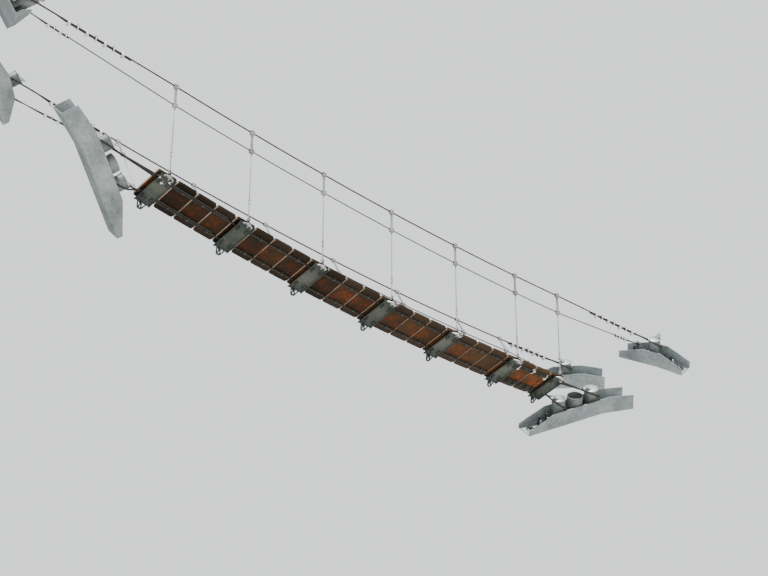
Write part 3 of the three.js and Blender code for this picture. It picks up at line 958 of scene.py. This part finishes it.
def channelSection():
    half, top, fold = plateShape["length"] / 2, plateShape["top"], plateShape["fold"]
    low, under = top - plateShape["lip"], top - plateShape["thickness"]
    inside, bevel = half - plateShape["lipThickness"], plateShape["innerFold"]
    angles = plateShape["foldAngles"]
    bend = [(half - fold * (1 - math.cos(a)), top - fold * (1 - math.sin(a))) for a in angles]
    right = [(half, low), (half, top - fold)] + bend + [(half - fold, top)]
    inner = [(inside, low), (inside, under - bevel), (inside - bevel, under)]
    left = [(-x, z) for x, z in right]
    return left + right[::-1] + inner + [(-x, z) for x, z in reversed(inner)]


def hangerFrame(x, side):
    foot, top = footPoint(x, side), handPoint(x, side)
    up = (top - foot).normalized()
    return Matrix.Translation(foot + shift) @ axesMatrix(xAxis, up.cross(xAxis), up), (top - foot).length


def earOutline():
    half, low = plateShape["earWidth"] / 2, -plateShape["earReach"]
    return flatArc(half, 0, math.pi, 12) + [(-half, low), (half, low)]


def makeCrossPlate(index, x):
    target = bmesh.new()
    upright = turned(90, "X") @ at(0, 0, -plateShape["width"] / 2)
    addPlate(target, channelSection(), plateShape["width"], onBoard(x, 0) @ upright, edge=0.001, steps=1)
    half = plateShape["earThickness"] / 2
    length, wave = plateShape["beadLength"], plateShape["beadWave"]
    for side in (-1, 1):
        place = hangerFrame(x, side)[0]
        addPlate(target, earOutline(), plateShape["earThickness"], place @ facingX(-half), edge=0.0012)
        foot = place @ Vector((0, 0, -plateShape["beadDrop"]))
        for face in (-1, 1):
            start = foot + Vector((face * (half + plateShape["beadOut"]), -length / 2, 0))
            bead = [start + Vector((0, length * i / 8, wave * math.sin(i * 2.1))) for i in range(9)]
            addRod(target, bead, plateShape["bead"], sides=6)
    finishPiece(f"plate_{index}", target, zinc["plateZinc"], [f"cross_plate_{index}"])


for index, x in enumerate(stations):
    makeCrossPlate(index, x)

plateFixings = {
    "boltDiameter": 0.01, "legOffset": 0.016, "alongOffset": 0.052, "legDrop": 0.05,
    "pad": (0.024, 0.056, 0.005), "washer": 0.0105, "washerThickness": 0.002, "nut": (0.017, 0.009),
    "loopRod": 0.0075, "loopHalf": 0.021, "loopReach": 0.05, "loopLegs": 0.03, "loopNut": (0.015, 0.008),
    "loopNutLevels": (0.004, -0.016), "loopDip": 40, "loopLean": 0.45, "loopFoot": 0.07,
    "loopLayer": 0.008, "footInset": 0.012, "footDrop": 0.01,
}


def makePlateBoltPattern():
    target = bmesh.new()
    half, pad = plateFixings["legOffset"], plateFixings["pad"]
    thick = plateFixings["washerThickness"]
    across, height = plateFixings["nut"]
    addRod(target, hookLine(half, 0, -plateFixings["legDrop"], yAxis, 12), plateFixings["boltDiameter"] / 2)
    under = plateShape["top"] - plateShape["thickness"]
    addBlock(target, pad, at(0, 0, under - pad[2] / 2), edge=0.001)
    for side in (-1, 1):
        spot = at(0, side * half, under - pad[2])
        addTurned(target, discProfile(plateFixings["washer"], -thick, 0, edge=0.0006), spot, sides=16)
        hexNut(target, across, height, spot @ at(0, 0, -thick - height))
    return smoothMesh("plateBolt", target)


boltStep = plateFixings["alongOffset"]
plateBoltSpots = cableSpots(stations, (-boltStep, boltStep))
plateBolts = makeCopies(makePlateBoltPattern(), plateBoltSpots, zinc["plateZinc"])
placePiece("plate_bolts", plateBolts)


def makeLoopPattern():
    target = bmesh.new()
    half = plateFixings["loopHalf"]
    line = hookLine(half, plateFixings["loopReach"], -plateFixings["loopLegs"], xAxis, 12)
    addRod(target, line, plateFixings["loopRod"])
    for side in (-1, 1):
        for level in plateFixings["loopNutLevels"]:
            hexNut(target, *plateFixings["loopNut"], at(side * half, 0, level))
    return smoothMesh("loop", target)


def loopSpots(side):
    dip = math.radians(plateFixings["loopDip"])
    across = side * (plateShape["width"] / 2 - plateFixings["footInset"])
    spots = []
    for x in stations:
        ahead, up = boardFrame(x)
        out = Vector((0, side * math.cos(dip), 0)) - up * math.sin(dip)
        foot = Vector((x, across, deckLine(x))) + up * (plateShape["top"] - plateFixings["footDrop"])
        layer = out.cross(ahead) * plateFixings["loopLayer"]
        for turn in (-1, 1):
            lean = ahead * turn * plateFixings["loopLean"]
            aim = (out + lean).normalized()
            spot = foot + shift - lean * plateFixings["loopFoot"] + layer * turn
            spots.append((spot, aim, aim.cross(ahead).cross(aim)))
    return spots


# Near loops in hanger zinc and far loops in dark steel: the dark steel is painted shade for the far side
# under the deck.
for side, word, finish in ((-1, "near", "hangerZinc"), (1, "far", "darkSteelAndShade")):
    loops = makeCopies(makeLoopPattern(), loopSpots(side), zinc[finish])
    placePiece(f"plate_loops_{word}", loops)
print("cross plates made:", len(stations))


# Hangers: a fork on the ear, a rod with a turnbuckle, a flat bar and two clamps

hangerShape = {
    "cheek": 0.005, "forkWidth": 0.03, "headroom": 0.012, "bridge": 0.008, "bridgeSink": 0.002,
    "clear": 0.0003, "pin": 0.012, "pinHead": (0.015, 0.005), "pinNut": (0.015, 0.0045),
    "pinTail": 0.006,
    "rod": 0.011, "rodNut": (0.018, 0.008), "rodOverlap": 0.02, "nutGap": 0.001,
    "linkStart": 0.2, "linkLength": 0.062, "linkWidth": 0.024, "collar": 0.0095, "collarHalf": 0.007,
    "strut": 0.0036, "strutInset": 0.004, "strutBow": 0.0015,
    "bar": 0.026, "barThickness": 0.012, "barBelow": 0.04,
    "clampLength": 0.05, "clampWidth": 0.036, "clampHeight": 0.044, "clampGap": 0.003,
    "clampNut": (0.0095, 0.0055), "clampStud": 0.003, "studEnds": (0.009, 0.0085), "studShares": (0.32, 0.3),
}
forkTop = plateShape["earWidth"] / 2 + hangerShape["headroom"]


def addFork(target, place):
    cheek, wide, high = hangerShape["cheek"], hangerShape["forkWidth"], hangerShape["bridge"]
    gap = plateShape["earThickness"] / 2 + hangerShape["clear"]
    reach = gap + cheek
    outline = flatArc(wide / 2, math.pi, math.pi, 10) + [(wide / 2, forkTop), (-wide / 2, forkTop)]
    for start in (-reach, gap):
        addPlate(target, outline, cheek, place @ facingX(start), edge=0.0012)
    middle = forkTop + high / 2 - hangerShape["bridgeSink"]
    addBlock(target, (2 * reach, wide, high), place @ at(0, 0, middle), edge=0.002)
    across = place @ turned(90, "Y")
    head = hangerShape["pinHead"][1]
    pin = discProfile(hangerShape["pin"] / 2, -reach - head, reach + hangerShape["pinTail"], edge=0.0008)
    addTurned(target, pin, across, sides=16)
    hexNut(target, *hangerShape["pinNut"], across @ at(0, 0, reach))
    hexNut(target, *hangerShape["pinHead"], across @ at(0, 0, -reach - head))


def addRodAndLink(target, place, rodEnd):
    start, end = hangerShape["linkStart"], hangerShape["linkStart"] + hangerShape["linkLength"]
    over, gap, collar = hangerShape["rodOverlap"], hangerShape["nutGap"], hangerShape["collarHalf"]
    for low, high in ((forkTop, start + over), (end - over, rodEnd)):
        addTurned(target, discProfile(hangerShape["rod"] / 2, low, high, edge=0.0008), place, sides=14)
    for level in (forkTop + hangerShape["bridge"], start - hangerShape["rodNut"][1] - gap, end + gap):
        hexNut(target, *hangerShape["rodNut"], place @ at(0, 0, level))
    ring = discProfile(hangerShape["collar"], -collar, collar, edge=0.002)
    for level in (start + collar, end - collar):
        addTurned(target, ring, place @ at(0, 0, level), sides=16)
    inset = hangerShape["strutInset"]
    half, length = hangerShape["linkWidth"] / 2 - inset, hangerShape["linkLength"] - 2 * inset
    for side in (-1, 1):
        strut = []
        for i in range(11):
            across = half + hangerShape["strutBow"] * math.sin(math.pi * i / 10)
            strut.append(place @ Vector((side * across, 0, start + inset + length * i / 10)))
        addRod(target, strut, hangerShape["strut"], sides=8)


def addClamp(target, place, level):
    length, width = hangerShape["clampLength"], hangerShape["clampWidth"]
    half, gap = hangerShape["clampHeight"] / 2, hangerShape["clampGap"] / 2
    below, above = hangerShape["studEnds"]
    alongShare, acrossShare = hangerShape["studShares"]
    for side in (-1, 1):
        centre = place @ at(0, 0, level + side * (half + gap) / 2)
        addBlock(target, (length, width, half - gap), centre, edge=0.003)
    for x in (-1, 1):
        for y in (-1, 1):
            spot = place @ at(x * length * alongShare, y * width * acrossShare, level)
            hexNut(target, *hangerShape["clampNut"], spot @ at(0, 0, half))
            hexNut(target, *hangerShape["clampNut"], spot @ at(0, 0, -half - hangerShape["clampNut"][1]))
            stud = discProfile(hangerShape["clampStud"], -half - below, half + above, edge=0.0006)
            addTurned(target, stud, spot, sides=8)


def makeHanger(index, x, side, word):
    place, length = hangerFrame(x, side)
    safety = length - layout["safetyDrop"]
    target = bmesh.new()
    addFork(target, place)
    addRodAndLink(target, place, safety - hangerShape["rodOverlap"])
    barLength = layout["safetyDrop"] + hangerShape["barBelow"]
    barSize = (hangerShape["bar"], hangerShape["barThickness"], barLength)
    addBlock(target, barSize, place @ at(0, 0, length - barLength / 2), edge=0.002)
    for level in (safety, length):
        addClamp(target, place, level)
    name = f"suspender_{word}_{index}"
    finishPiece(name, target, zinc["hangerZinc"], [f"hanger_{word}_{index}"])


for index, x in enumerate(stations):
    makeHanger(index, x, -1, "near")
    makeHanger(index, x, 1, "far")
print("hangers made:", 2 * len(stations))


# Anchors, each in its own frame: u along the trough, v across it, w up from its underside

troughs = {
    "deck": dict(near=0.7, far=0.755, hip=0.32, dip=0.066, nearHeight=0.06, nearTaper=0.35,
                 farHeight=0.185, farTaper=0.33),
    "far": dict(near=0.43, far=0.48, hip=0.1, dip=0.045, nearHeight=0.07, nearTaper=0.3,
                farHeight=0.175, farTaper=0.26),
    "near": dict(near=0.42, far=0.43, hip=0.1, dip=0.03, nearHeight=0.09, nearTaper=0.32,
                 farHeight=0.085, farTaper=0.3),
}
anchorShape = {
    "width": 0.24, "plate": 0.012, "cheekHeight": 0.19, "bollardHeight": 0.312, "lid": 0.014, "lidLip": 0.007,
    "deckBollard": 0.16, "handBollard": 0.14, "deckSpread": 0.45, "sink": 0.002,
    "bollardShort": 0.004, "postShort": 0.001,
    "ring": 0.19, "ringHeight": 0.282, "ringWall": 0.012, "ringEdge": 0.003,
    "hornLength": 0.104, "hornThickness": 0.012, "hornRoot": 0.01, "hornSink": 0.004, "hornTilt": 35.5,
    "hornWidthShare": 0.44, "hornShiftShare": 0.08,
    "post": 0.036, "postHeight": 0.212, "postCap": 0.008, "postLip": 0.006, "postAlong": -0.23,
    "postEye": 0.18,
}
weldShape = {
    "bead": 0.0055, "inset": 0.001, "ends": 0.01, "swell": 0.0012, "swellTurns": 210, "steps": 50,
    "ringBead": 0.005, "ringOut": 0.003, "ringSwellTurns": 2.9, "ringSteps": 40,
}
# Each anchor's bolts, by their places along and across the trough
anchorBolts = {
    "deck": {
        "tall": [
            (-0.5, -0.05), (-0.46, 0.05), (-0.39, -0.03), (-0.35, 0.06),
            (0.38, -0.05), (0.46, 0.04), (0.53, -0.03),
        ],
        "wide": [(-0.61, 0.0), (0.64, 0.0)],
    },
    "far": {
        "tall": [(0.17, -0.05), (0.23, 0.05), (0.29, -0.04), (-0.33, 0.05)],
        "wide": [(0.39, 0.0), (-0.37, -0.03)],
    },
    "near": {
        "tall": [(0.16, -0.05), (0.2, 0.05), (0.26, -0.02), (-0.3, 0.06)],
        "wide": [(-0.35, 0.0), (0.35, 0.0)],
    },
}
postFoot = anchorShape["plate"] - anchorShape["sink"]


def troughFloor(shape, u):
    if u <= shape["hip"]:
        return 0.0, 0.0
    slope = shape["dip"] / (shape["far"] - shape["hip"])
    return -(u - shape["hip"]) * slope, math.degrees(math.atan(slope))


def addTrough(target, shape, place):
    plate = anchorShape["plate"]
    half = anchorShape["width"] / 2
    inner = half - plate
    low = [(-shape["near"], 0), (shape["hip"], 0), (shape["far"], -shape["dip"])]
    cheek = low + [
        (shape["far"], shape["farHeight"] - shape["dip"]),
        (shape["far"] - shape["farTaper"], anchorShape["cheekHeight"]),
        (-shape["near"] + shape["nearTaper"], anchorShape["cheekHeight"]),
        (-shape["near"], shape["nearHeight"]),
    ]
    floor = low + [(x, z + plate) for x, z in reversed(low)]
    upright = turned(90, "X")
    for v in (half, -inner):
        addPlate(target, cheek, plate, place @ at(0, v, 0) @ upright, edge=0.0025)
    wide = inner + anchorShape["sink"]
    addPlate(target, floor, 2 * wide, place @ at(0, wide, 0) @ upright, edge=0.0015, steps=1)
    start, inset = weldShape["ends"] - shape["near"], weldShape["inset"]
    length = shape["far"] + shape["near"] - 2 * weldShape["ends"]
    for side in (-1, 1):
        bead = []
        for i in range(weldShape["steps"] + 1):
            u = start + length * i / weldShape["steps"]
            swell = weldShape["swell"] * math.sin(u * weldShape["swellTurns"])
            level = troughFloor(shape, u)[0] + plate + inset
            bead.append(place @ Vector((u, side * (inner - inset - swell), level)))
        addRod(target, bead, weldShape["bead"], sides=6)


def weldRing(target, place, u, radius):
    level = anchorShape["plate"] + anchorShape["sink"]
    circle = []
    for i in range(weldShape["ringSteps"]):
        angle = 2 * math.pi * i / weldShape["ringSteps"]
        swell = weldShape["swell"] * math.sin(i * weldShape["ringSwellTurns"])
        reach = radius + weldShape["ringOut"] + swell
        circle.append(place @ Vector((u + reach * math.cos(angle), reach * math.sin(angle), level)))
    addRod(target, circle, weldShape["ringBead"], sides=6, closed=True)


def hornOutline(width):
    radius = width / 2
    root = -anchorShape["hornRoot"]
    centre = anchorShape["hornLength"] + root - radius
    nose = [(centre + x, y) for x, y in flatArc(radius, math.pi / 2, -math.pi, 14)]
    return [(root, -radius), (root, radius)] + nose


def addBollard(posts, lids, place, u, diameter, hornTurn):
    top, thick = anchorShape["bollardHeight"], anchorShape["hornThickness"]
    radius = diameter / 2
    spot = place @ at(u, 0, 0)
    lid = discProfile(radius + anchorShape["lidLip"], top - anchorShape["lid"], top, edge=0.0025)
    pipe = discProfile(radius, postFoot, top - anchorShape["bollardShort"], edge=0.002)
    addTurned(posts, pipe, spot, sides=64)
    addTurned(lids, lid, spot, sides=64)
    weldRing(posts, place, u, radius)
    root = at(diameter * anchorShape["hornShiftShare"], 0, top - anchorShape["hornSink"])
    lean = turned(hornTurn, "Z") @ root @ turned(-anchorShape["hornTilt"], "Y") @ at(0, 0, -thick / 2)
    outline = hornOutline(diameter * anchorShape["hornWidthShare"])
    addPlate(lids, outline, thick, spot @ lean, edge=0.0025)


def addPipeRing(target, place):
    outer, top, edge = anchorShape["ring"] / 2, anchorShape["ringHeight"], anchorShape["ringEdge"]
    inner = outer - anchorShape["ringWall"]
    profile = [
        (inner, postFoot), (outer, postFoot), (outer, top - edge),
        (outer - edge, top), (inner + edge, top), (inner, top - edge),
    ]
    addTurned(target, profile, place, sides=64, closed=True)
    weldRing(target, place, 0, outer)


def addSafetyPost(target, place):
    u, top, radius = anchorShape["postAlong"], anchorShape["postHeight"], anchorShape["post"] / 2
    spot = place @ at(u, 0, 0)
    cap = discProfile(radius + anchorShape["postLip"], top - anchorShape["postCap"], top, edge=0.002)
    bar = discProfile(radius, postFoot, top - anchorShape["postShort"], edge=0.001)
    addTurned(target, bar, spot, sides=32)
    addTurned(target, cap, spot, sides=32)
    weldRing(target, place, u, radius)


def makeAnchor(kind, end, word):
    place = anchorMatrix(end, places[kind])
    target, posts, lids = bmesh.new(), bmesh.new(), bmesh.new()
    addTrough(target, troughs[kind], place)
    horn = places[kind]["hornTurn"]
    if kind == "deck":
        half = anchorShape["deckSpread"] / 2
        for u in (-half, half):
            addBollard(posts, lids, place, u, anchorShape["deckBollard"], horn)
        addPipeRing(posts, place)
        name, node = f"anchor_deck_{word}", f"deck_anchor_{word}"
    else:
        addBollard(posts, lids, place, 0, anchorShape["handBollard"], horn)
        addSafetyPost(posts, place)
        name, node = f"anchor_{kind}_{word}", f"hand_anchor_{kind}_{word}"
    # Stems take the darker copy and lids the lighter copy of the anchor zinc: painted shade and painted
    # light.
    finishPiece(f"{name}_posts", posts, zinc["postZincShaded"])
    finishPiece(f"{name}_lids", lids, zinc["lidZincLit"])
    finishPiece(name, target, zinc["anchorZinc"], [node])


for end, word in ((1, "right"), (-1, "left")):
    for kind in places:
        makeAnchor(kind, end, word)

boltShape = {
    "stud": 0.011, "tall": 0.105, "short": 0.034, "washer": 0.03, "washerThickness": 0.005,
    "nutAcross": 0.036, "nutHeight": 0.018, "threadPitch": 0.0025, "threadDepth": 0.0012, "threadEnd": 0.0015,
    "turnSpread": 1.5, "wideWasher": 0.052, "domeRise": 2.2,
    "dome": [(0, 0), (1, 0), (1, 0.6), (0.75, 1.6), (0.45, 2.2), (0, 2.2)],
}


def threadProfile(length):
    stud, pitch = boltShape["stud"], boltShape["threadPitch"]
    turns = int(length / pitch)
    profile = [(0, 0)]
    for i in range(turns):
        profile += [(stud - boltShape["threadDepth"], i * pitch), (stud, (i + 0.5) * pitch)]
    return profile + [(stud - boltShape["threadEnd"], turns * pitch), (0, turns * pitch)]


def makeBoltPattern(stand, washer, domed):
    target = bmesh.new()
    thick = boltShape["washerThickness"]
    if domed:
        dome = [(washer * share, thick * rise) for share, rise in boltShape["dome"]]
        addTurned(target, dome, Matrix.Identity(4), sides=40)
        thick *= boltShape["domeRise"]
    else:
        addTurned(target, discProfile(washer, 0, thick, edge=0.001), Matrix.Identity(4), sides=32)
    hexNut(target, boltShape["nutAcross"], boltShape["nutHeight"], at(0, 0, thick))
    addTurned(target, threadProfile(stand - thick), at(0, 0, thick), sides=14)
    return smoothMesh("anchorBolt", target, smooth=50)


def boltSpots(kind, key):
    found = []
    for end in (1, -1):
        place = anchorMatrix(end, places[kind])
        for u, v in anchorBolts[kind][key]:
            drop, slope = troughFloor(troughs[kind], u)
            spot = place @ at(u, v, drop + anchorShape["plate"]) @ turned(slope, "Y")
            axes = spot.to_3x3()
            found.append((spot.translation, axes.col[2], axes.col[0]))
    return found


def placeBolts(word, pattern, spots, finish, seed):
    made = makeCopies(pattern, spots, zinc[finish], spreadTurn=boltShape["turnSpread"], seed=seed)
    placePiece(f"anchor_{word}", made)


tallSpots = [spot for kind in places for spot in boltSpots(kind, "tall")]
wideSpots = [spot for kind in places for spot in boltSpots(kind, "wide")]
# Every other tall stud takes the lit lid finish and the rest dark steel: lit and shaded copies of one bolt.
for first, word, finish in ((0, "studs_light", "lidZincLit"), (1, "studs_dark", "darkSteelAndShade")):
    tallBolt = makeBoltPattern(boltShape["tall"], boltShape["washer"], False)
    placeBolts(word, tallBolt, tallSpots[first::2], finish, seed=4 + first)
wideBolt = makeBoltPattern(boltShape["short"], boltShape["wideWasher"], True)
placeBolts("washers", wideBolt, wideSpots, "darkSteelAndShade", seed=9)
print("anchors made:", 2 * len(places))


# Wire ropes, each laid along the same route as its solid, and the clips on their tails

def anchorPoint(kind, u, w):
    matrix = anchorMatrix(1, places[kind])
    return matrix @ Vector((u, 0, w)) - shift


def postPoint(kind):
    return anchorPoint(kind, anchorShape["postAlong"], anchorShape["postEye"])


ropeKinds = {
    "deck": dict(
        radius=0.01, post=anchorShape["deckBollard"] / 2, throat=0.185, line=deckPoint,
        leave=halfSpan + 0.145,
    ),
    "hand": dict(
        radius=0.008, post=anchorShape["handBollard"] / 2, throat=0.3, line=handPoint, leave=halfSpan + 0.06,
    ),
    "safety": dict(
        radius=0.006, post=anchorShape["post"] / 2, throat=0.11, line=safetyPoint, leave=halfSpan + 0.06,
    ),
}
ropeFit = {
    "strandGap": 0.004, "eyeSeat": 0.00055, "eyeSteps": 48, "tailSteps": 8, "spanStep": 0.05,
    "bendReach": 0.05, "bendShare": 0.45, "bendAngle": 9, "bendSteps": 8,
    "strands": 6, "pointsPerStrand": 4, "layPerDiameter": 6.5, "stepsPerLay": 13,
}
deckHalf = anchorShape["deckSpread"] / 2
nearEye, farEye = eyeMiddle(places["near"]), eyeMiddle(places["far"])
ropes = {
    "deck_near": dict(
        kind="deck", side=-1, eye=anchorPoint("deck", deckHalf, layout["eyeHeight"]),
        tail=(halfSpan + 0.1, 0.9), away=(0, -1, 0),
    ),
    "deck_far": dict(
        kind="deck", side=1, eye=anchorPoint("deck", -deckHalf, layout["eyeHeight"]),
        tail=(halfSpan + 0.1, 0.9), away=(0, -1, 0),
    ),
    "hand_near": dict(kind="hand", side=-1, eye=nearEye, tail=(nearEye.x - 0.42, 0.8), away=(0, 0, -1)),
    "hand_far": dict(kind="hand", side=1, eye=farEye, tail=(farEye.x - 0.42, 0.7), away=(0, 0, -1)),
    "safety_near": dict(
        kind="safety", side=-1, eye=postPoint("near"), tail=(nearEye.x - 0.33, 0.24), away=(0, 0, -1),
    ),
    "safety_far": dict(
        kind="safety", side=1, eye=postPoint("far"), tail=(farEye.x - 0.45, 0.24), away=(0, 0, -1),
    ),
}


def strandAt(rope, kind, x):
    leave = kind["line"](kind["leave"], rope["side"])
    share = (x - leave.x) / (rope["eye"].x - leave.x)
    return leave.lerp(rope["eye"], share) if share > 0 else kind["line"](x, rope["side"])


def eyeAndTail(rope, kind):
    leave = kind["line"](kind["leave"], rope["side"])
    pull = (rope["eye"] - leave).normalized()
    side = mountNormal.cross(pull)
    reach = (kind["post"] + kind["radius"] + ropeFit["eyeSeat"]) / side.length
    side.normalize()
    opening = math.asin(reach / kind["throat"])
    throat = rope["eye"] - pull * kind["throat"]
    spacing = 2 * kind["radius"] + ropeFit["strandGap"]
    points = [throat]
    steps = ropeFit["eyeSteps"]
    for i in range(steps + 1):
        angle = -opening + (math.pi + 2 * opening) * i / steps
        points.append(rope["eye"] + side * (reach * math.cos(angle)) + pull * (reach * math.sin(angle)))
    points.append(throat - side * spacing)
    start, length = rope["tail"]
    for i in range(ropeFit["tailSteps"] + 1):
        x = start - length * i / ropeFit["tailSteps"]
        points.append(strandAt(rope, kind, x) + Vector(rope["away"]) * spacing)
    return points


def roundedPath(points):
    reach, share, steps = ropeFit["bendReach"], ropeFit["bendShare"], ropeFit["bendSteps"]
    smooth = [points[0]]
    for before, corner, after in zip(points, points[1:], points[2:]):
        into, out = corner - before, after - corner
        if into.angle(out) < math.radians(ropeFit["bendAngle"]):
            smooth.append(corner)
            continue
        first = corner - into.normalized() * min(reach, into.length * share)
        last = corner + out.normalized() * min(reach, out.length * share)
        for i in range(steps + 1):
            t = i / steps
            smooth.append(first * (1 - t) ** 2 + corner * (2 * t * (1 - t)) + last * t ** 2)
    return smooth + [points[-1]]


def ropePath(rope):
    kind = ropeKinds[rope["kind"]]
    ending = eyeAndTail(rope, kind)
    starting = [Vector((-p.x, p.y, p.z)) for p in reversed(ending)]
    count = round(2 * kind["leave"] / ropeFit["spanStep"])
    xs = [-kind["leave"] + 2 * kind["leave"] * i / count for i in range(count + 1)]
    points = starting + [kind["line"](x, rope["side"]) for x in xs] + ending
    return [p + shift for p in roundedPath(points)]


def pathLength(points):
    return sum((b - a).length for a, b in zip(points, points[1:]))


def makeRope(name, rope):
    kind = ropeKinds[rope["kind"]]
    path = ropePath(rope)
    line = bpy.data.meshes.new("line")
    line.from_pydata(path, [(i, i + 1) for i in range(len(path) - 1)], [])
    lay = 2 * kind["radius"] * ropeFit["layPerDiameter"]
    made = runTree(ropeTree, line, {
        "Rope radius": kind["radius"], "Strands": ropeFit["strands"],
        "Points per strand": ropeFit["pointsPerStrand"], "Lay length": lay,
        "Step": lay / ropeFit["stepsPerLay"], "Material": ropeMaterial,
    })
    placePiece(f"rope_{name}", made, [name.replace("_", "_cable_")])
    print("rope", name, "length", round(pathLength(path), 3))


for name, rope in ropes.items():
    makeRope(name, rope)

# Clips on each rope's tail, counted at the right-hand and the left-hand end
ropeClips = {
    "deck_near": dict(
        turned=True, counts=(4, 3), first=0.03, pitches=(0.232, 0.06), rod=0.0045, finish="brightZinc",
    ),
    "deck_far": dict(
        turned=False, counts=(8, 3), first=0.03, pitches=(0.105, 0.06), rod=0.0055, finish="darkSteelAndShade",
    ),
    "hand_near": dict(
        turned=True, counts=(7, 7), first=0.03, pitches=(0.11, 0.11), rod=0.0065, finish="brightZinc",
    ),
    "hand_far": dict(
        turned=True, counts=(7, 7), first=0.03, pitches=(0.1, 0.1), rod=0.0065, finish="brightZinc",
    ),
}
for name in ("safety_near", "safety_far"):
    ropeClips[name] = dict(
        turned=True, counts=(4, 4), first=0.02, pitches=(0.065, 0.065), rod=0.004, finish="brightZinc",
    )
clipShape = {
    "legs": 0.026, "saddleLength": 0.024, "saddleOver": 0.006, "saddleThickness": 0.012, "seat": 0.55,
    "washer": 1.9, "washerThickness": 0.0015, "nut": (3.2, 1.7),
}


def makeClipPattern(radius, rod, spacing):
    target = bmesh.new()
    half, thick = radius + rod, clipShape["washerThickness"]
    across, height = (rod * share for share in clipShape["nut"])
    addRod(target, hookLine(half, -spacing, radius + clipShape["legs"], yAxis, 14), rod)
    seat, deep = radius * clipShape["seat"], clipShape["saddleThickness"]
    saddleSize = (clipShape["saddleLength"] + radius, 2 * (half + rod) + clipShape["saddleOver"], deep)
    addBlock(target, saddleSize, at(0, 0, seat + deep / 2), edge=0.003)
    for side in (-1, 1):
        spot = at(0, side * half, seat + deep)
        addTurned(target, discProfile(rod * clipShape["washer"], 0, thick, edge=0.0004), spot, sides=16)
        hexNut(target, across, height, spot @ at(0, 0, thick))
    return smoothMesh("ropeClip", target)


def makeClips(name, rope):
    kind = ropeKinds[rope["kind"]]
    clip = ropeClips[name]
    spacing = 2 * kind["radius"] + ropeFit["strandGap"]
    away = Vector(rope["away"])
    spots = []
    for end, count, pitch in zip((1, -1), clip["counts"], clip["pitches"]):
        for i in range(count):
            x = rope["tail"][0] - clip["first"] - i * pitch
            centre = strandAt(rope, kind, x)
            ahead = (strandAt(rope, kind, x + 0.01) - strandAt(rope, kind, x - 0.01)).normalized()
            up = (-away - ahead * -away.dot(ahead)).normalized()
            if clip["turned"] and i % 2 == 0:
                centre, up = centre - up * spacing, -up
            for vector in (centre, ahead, up):
                vector.x *= end
            spots.append((centre + shift, up, ahead))
    made = makeCopies(makeClipPattern(kind["radius"], clip["rod"], spacing), spots, zinc[clip["finish"]])
    placePiece(f"clips_{name}", made)


for name, rope in ropes.items():
    makeClips(name, rope)
print("ropes and clips made")


# Floor and light

stageSet = {
    "floorDrop": 0.7, "floorSize": 120.0, "floorColour": (0.78, 0.77, 0.75, 1),
    "skyColour": (0.86, 0.88, 0.9, 1), "skyLight": 0.42, "backdrop": 1.5,
}
sunSet = {
    "key": dict(direction=(0.38, 0.5, -0.95), strength=6.5, softness=4, colour=(1.0, 0.96, 0.9)),
    "fill": dict(direction=(0.5, 0.4, 0.6), strength=0.6, softness=60, colour=(0.94, 0.97, 1.0)),
}


def makeFloor():
    material, tree = emptyMaterial("paleFloor")
    pale = addNode(tree, "ShaderNodeBsdfDiffuse", {"Color": stageSet["floorColour"]}).outputs[0]
    clear = addNode(tree, "ShaderNodeBsdfTransparent").outputs[0]
    back = addNode(tree, "ShaderNodeNewGeometry").outputs["Backfacing"]
    both = addNode(tree, "ShaderNodeMixShader", {0: back, 1: pale, 2: clear}).outputs[0]
    addNode(tree, "ShaderNodeOutputMaterial", {0: both})
    half = stageSet["floorSize"] / 2
    level = cadBox[0].z - stageSet["floorDrop"]
    mesh = bpy.data.meshes.new("floor")
    corners = [(-half, -half, level), (half, -half, level), (half, half, level), (-half, half, level)]
    mesh.from_pydata(corners, [], [(0, 1, 2, 3)])
    mesh.materials.append(material)
    floor = addObject("floor", mesh)


def addSun(name, direction, strength, softness, colour):
    data = bpy.data.lights.new(name, "SUN")
    data.energy = strength
    data.angle = math.radians(softness)
    data.color = colour
    lamp = addObject(name, data)
    lamp.rotation_mode = "QUATERNION"
    lamp.rotation_quaternion = Vector(direction).to_track_quat("-Z", "Y")


def lightSky():
    world = bpy.data.worlds.new("softSky")
    bpy.context.scene.world = world
    world.use_nodes = True
    tree = world.node_tree
    sky = tree.nodes["Background"]
    sky.inputs["Color"].default_value = stageSet["skyColour"]
    seen = addNode(tree, "ShaderNodeLightPath").outputs["Is Camera Ray"]
    level = spread(tree, seen, 0.0, 1.0, stageSet["skyLight"], stageSet["backdrop"])
    tree.links.new(level, sky.inputs["Strength"])


makeFloor()
for name, sun in sunSet.items():
    addSun(name, **sun)
lightSky()
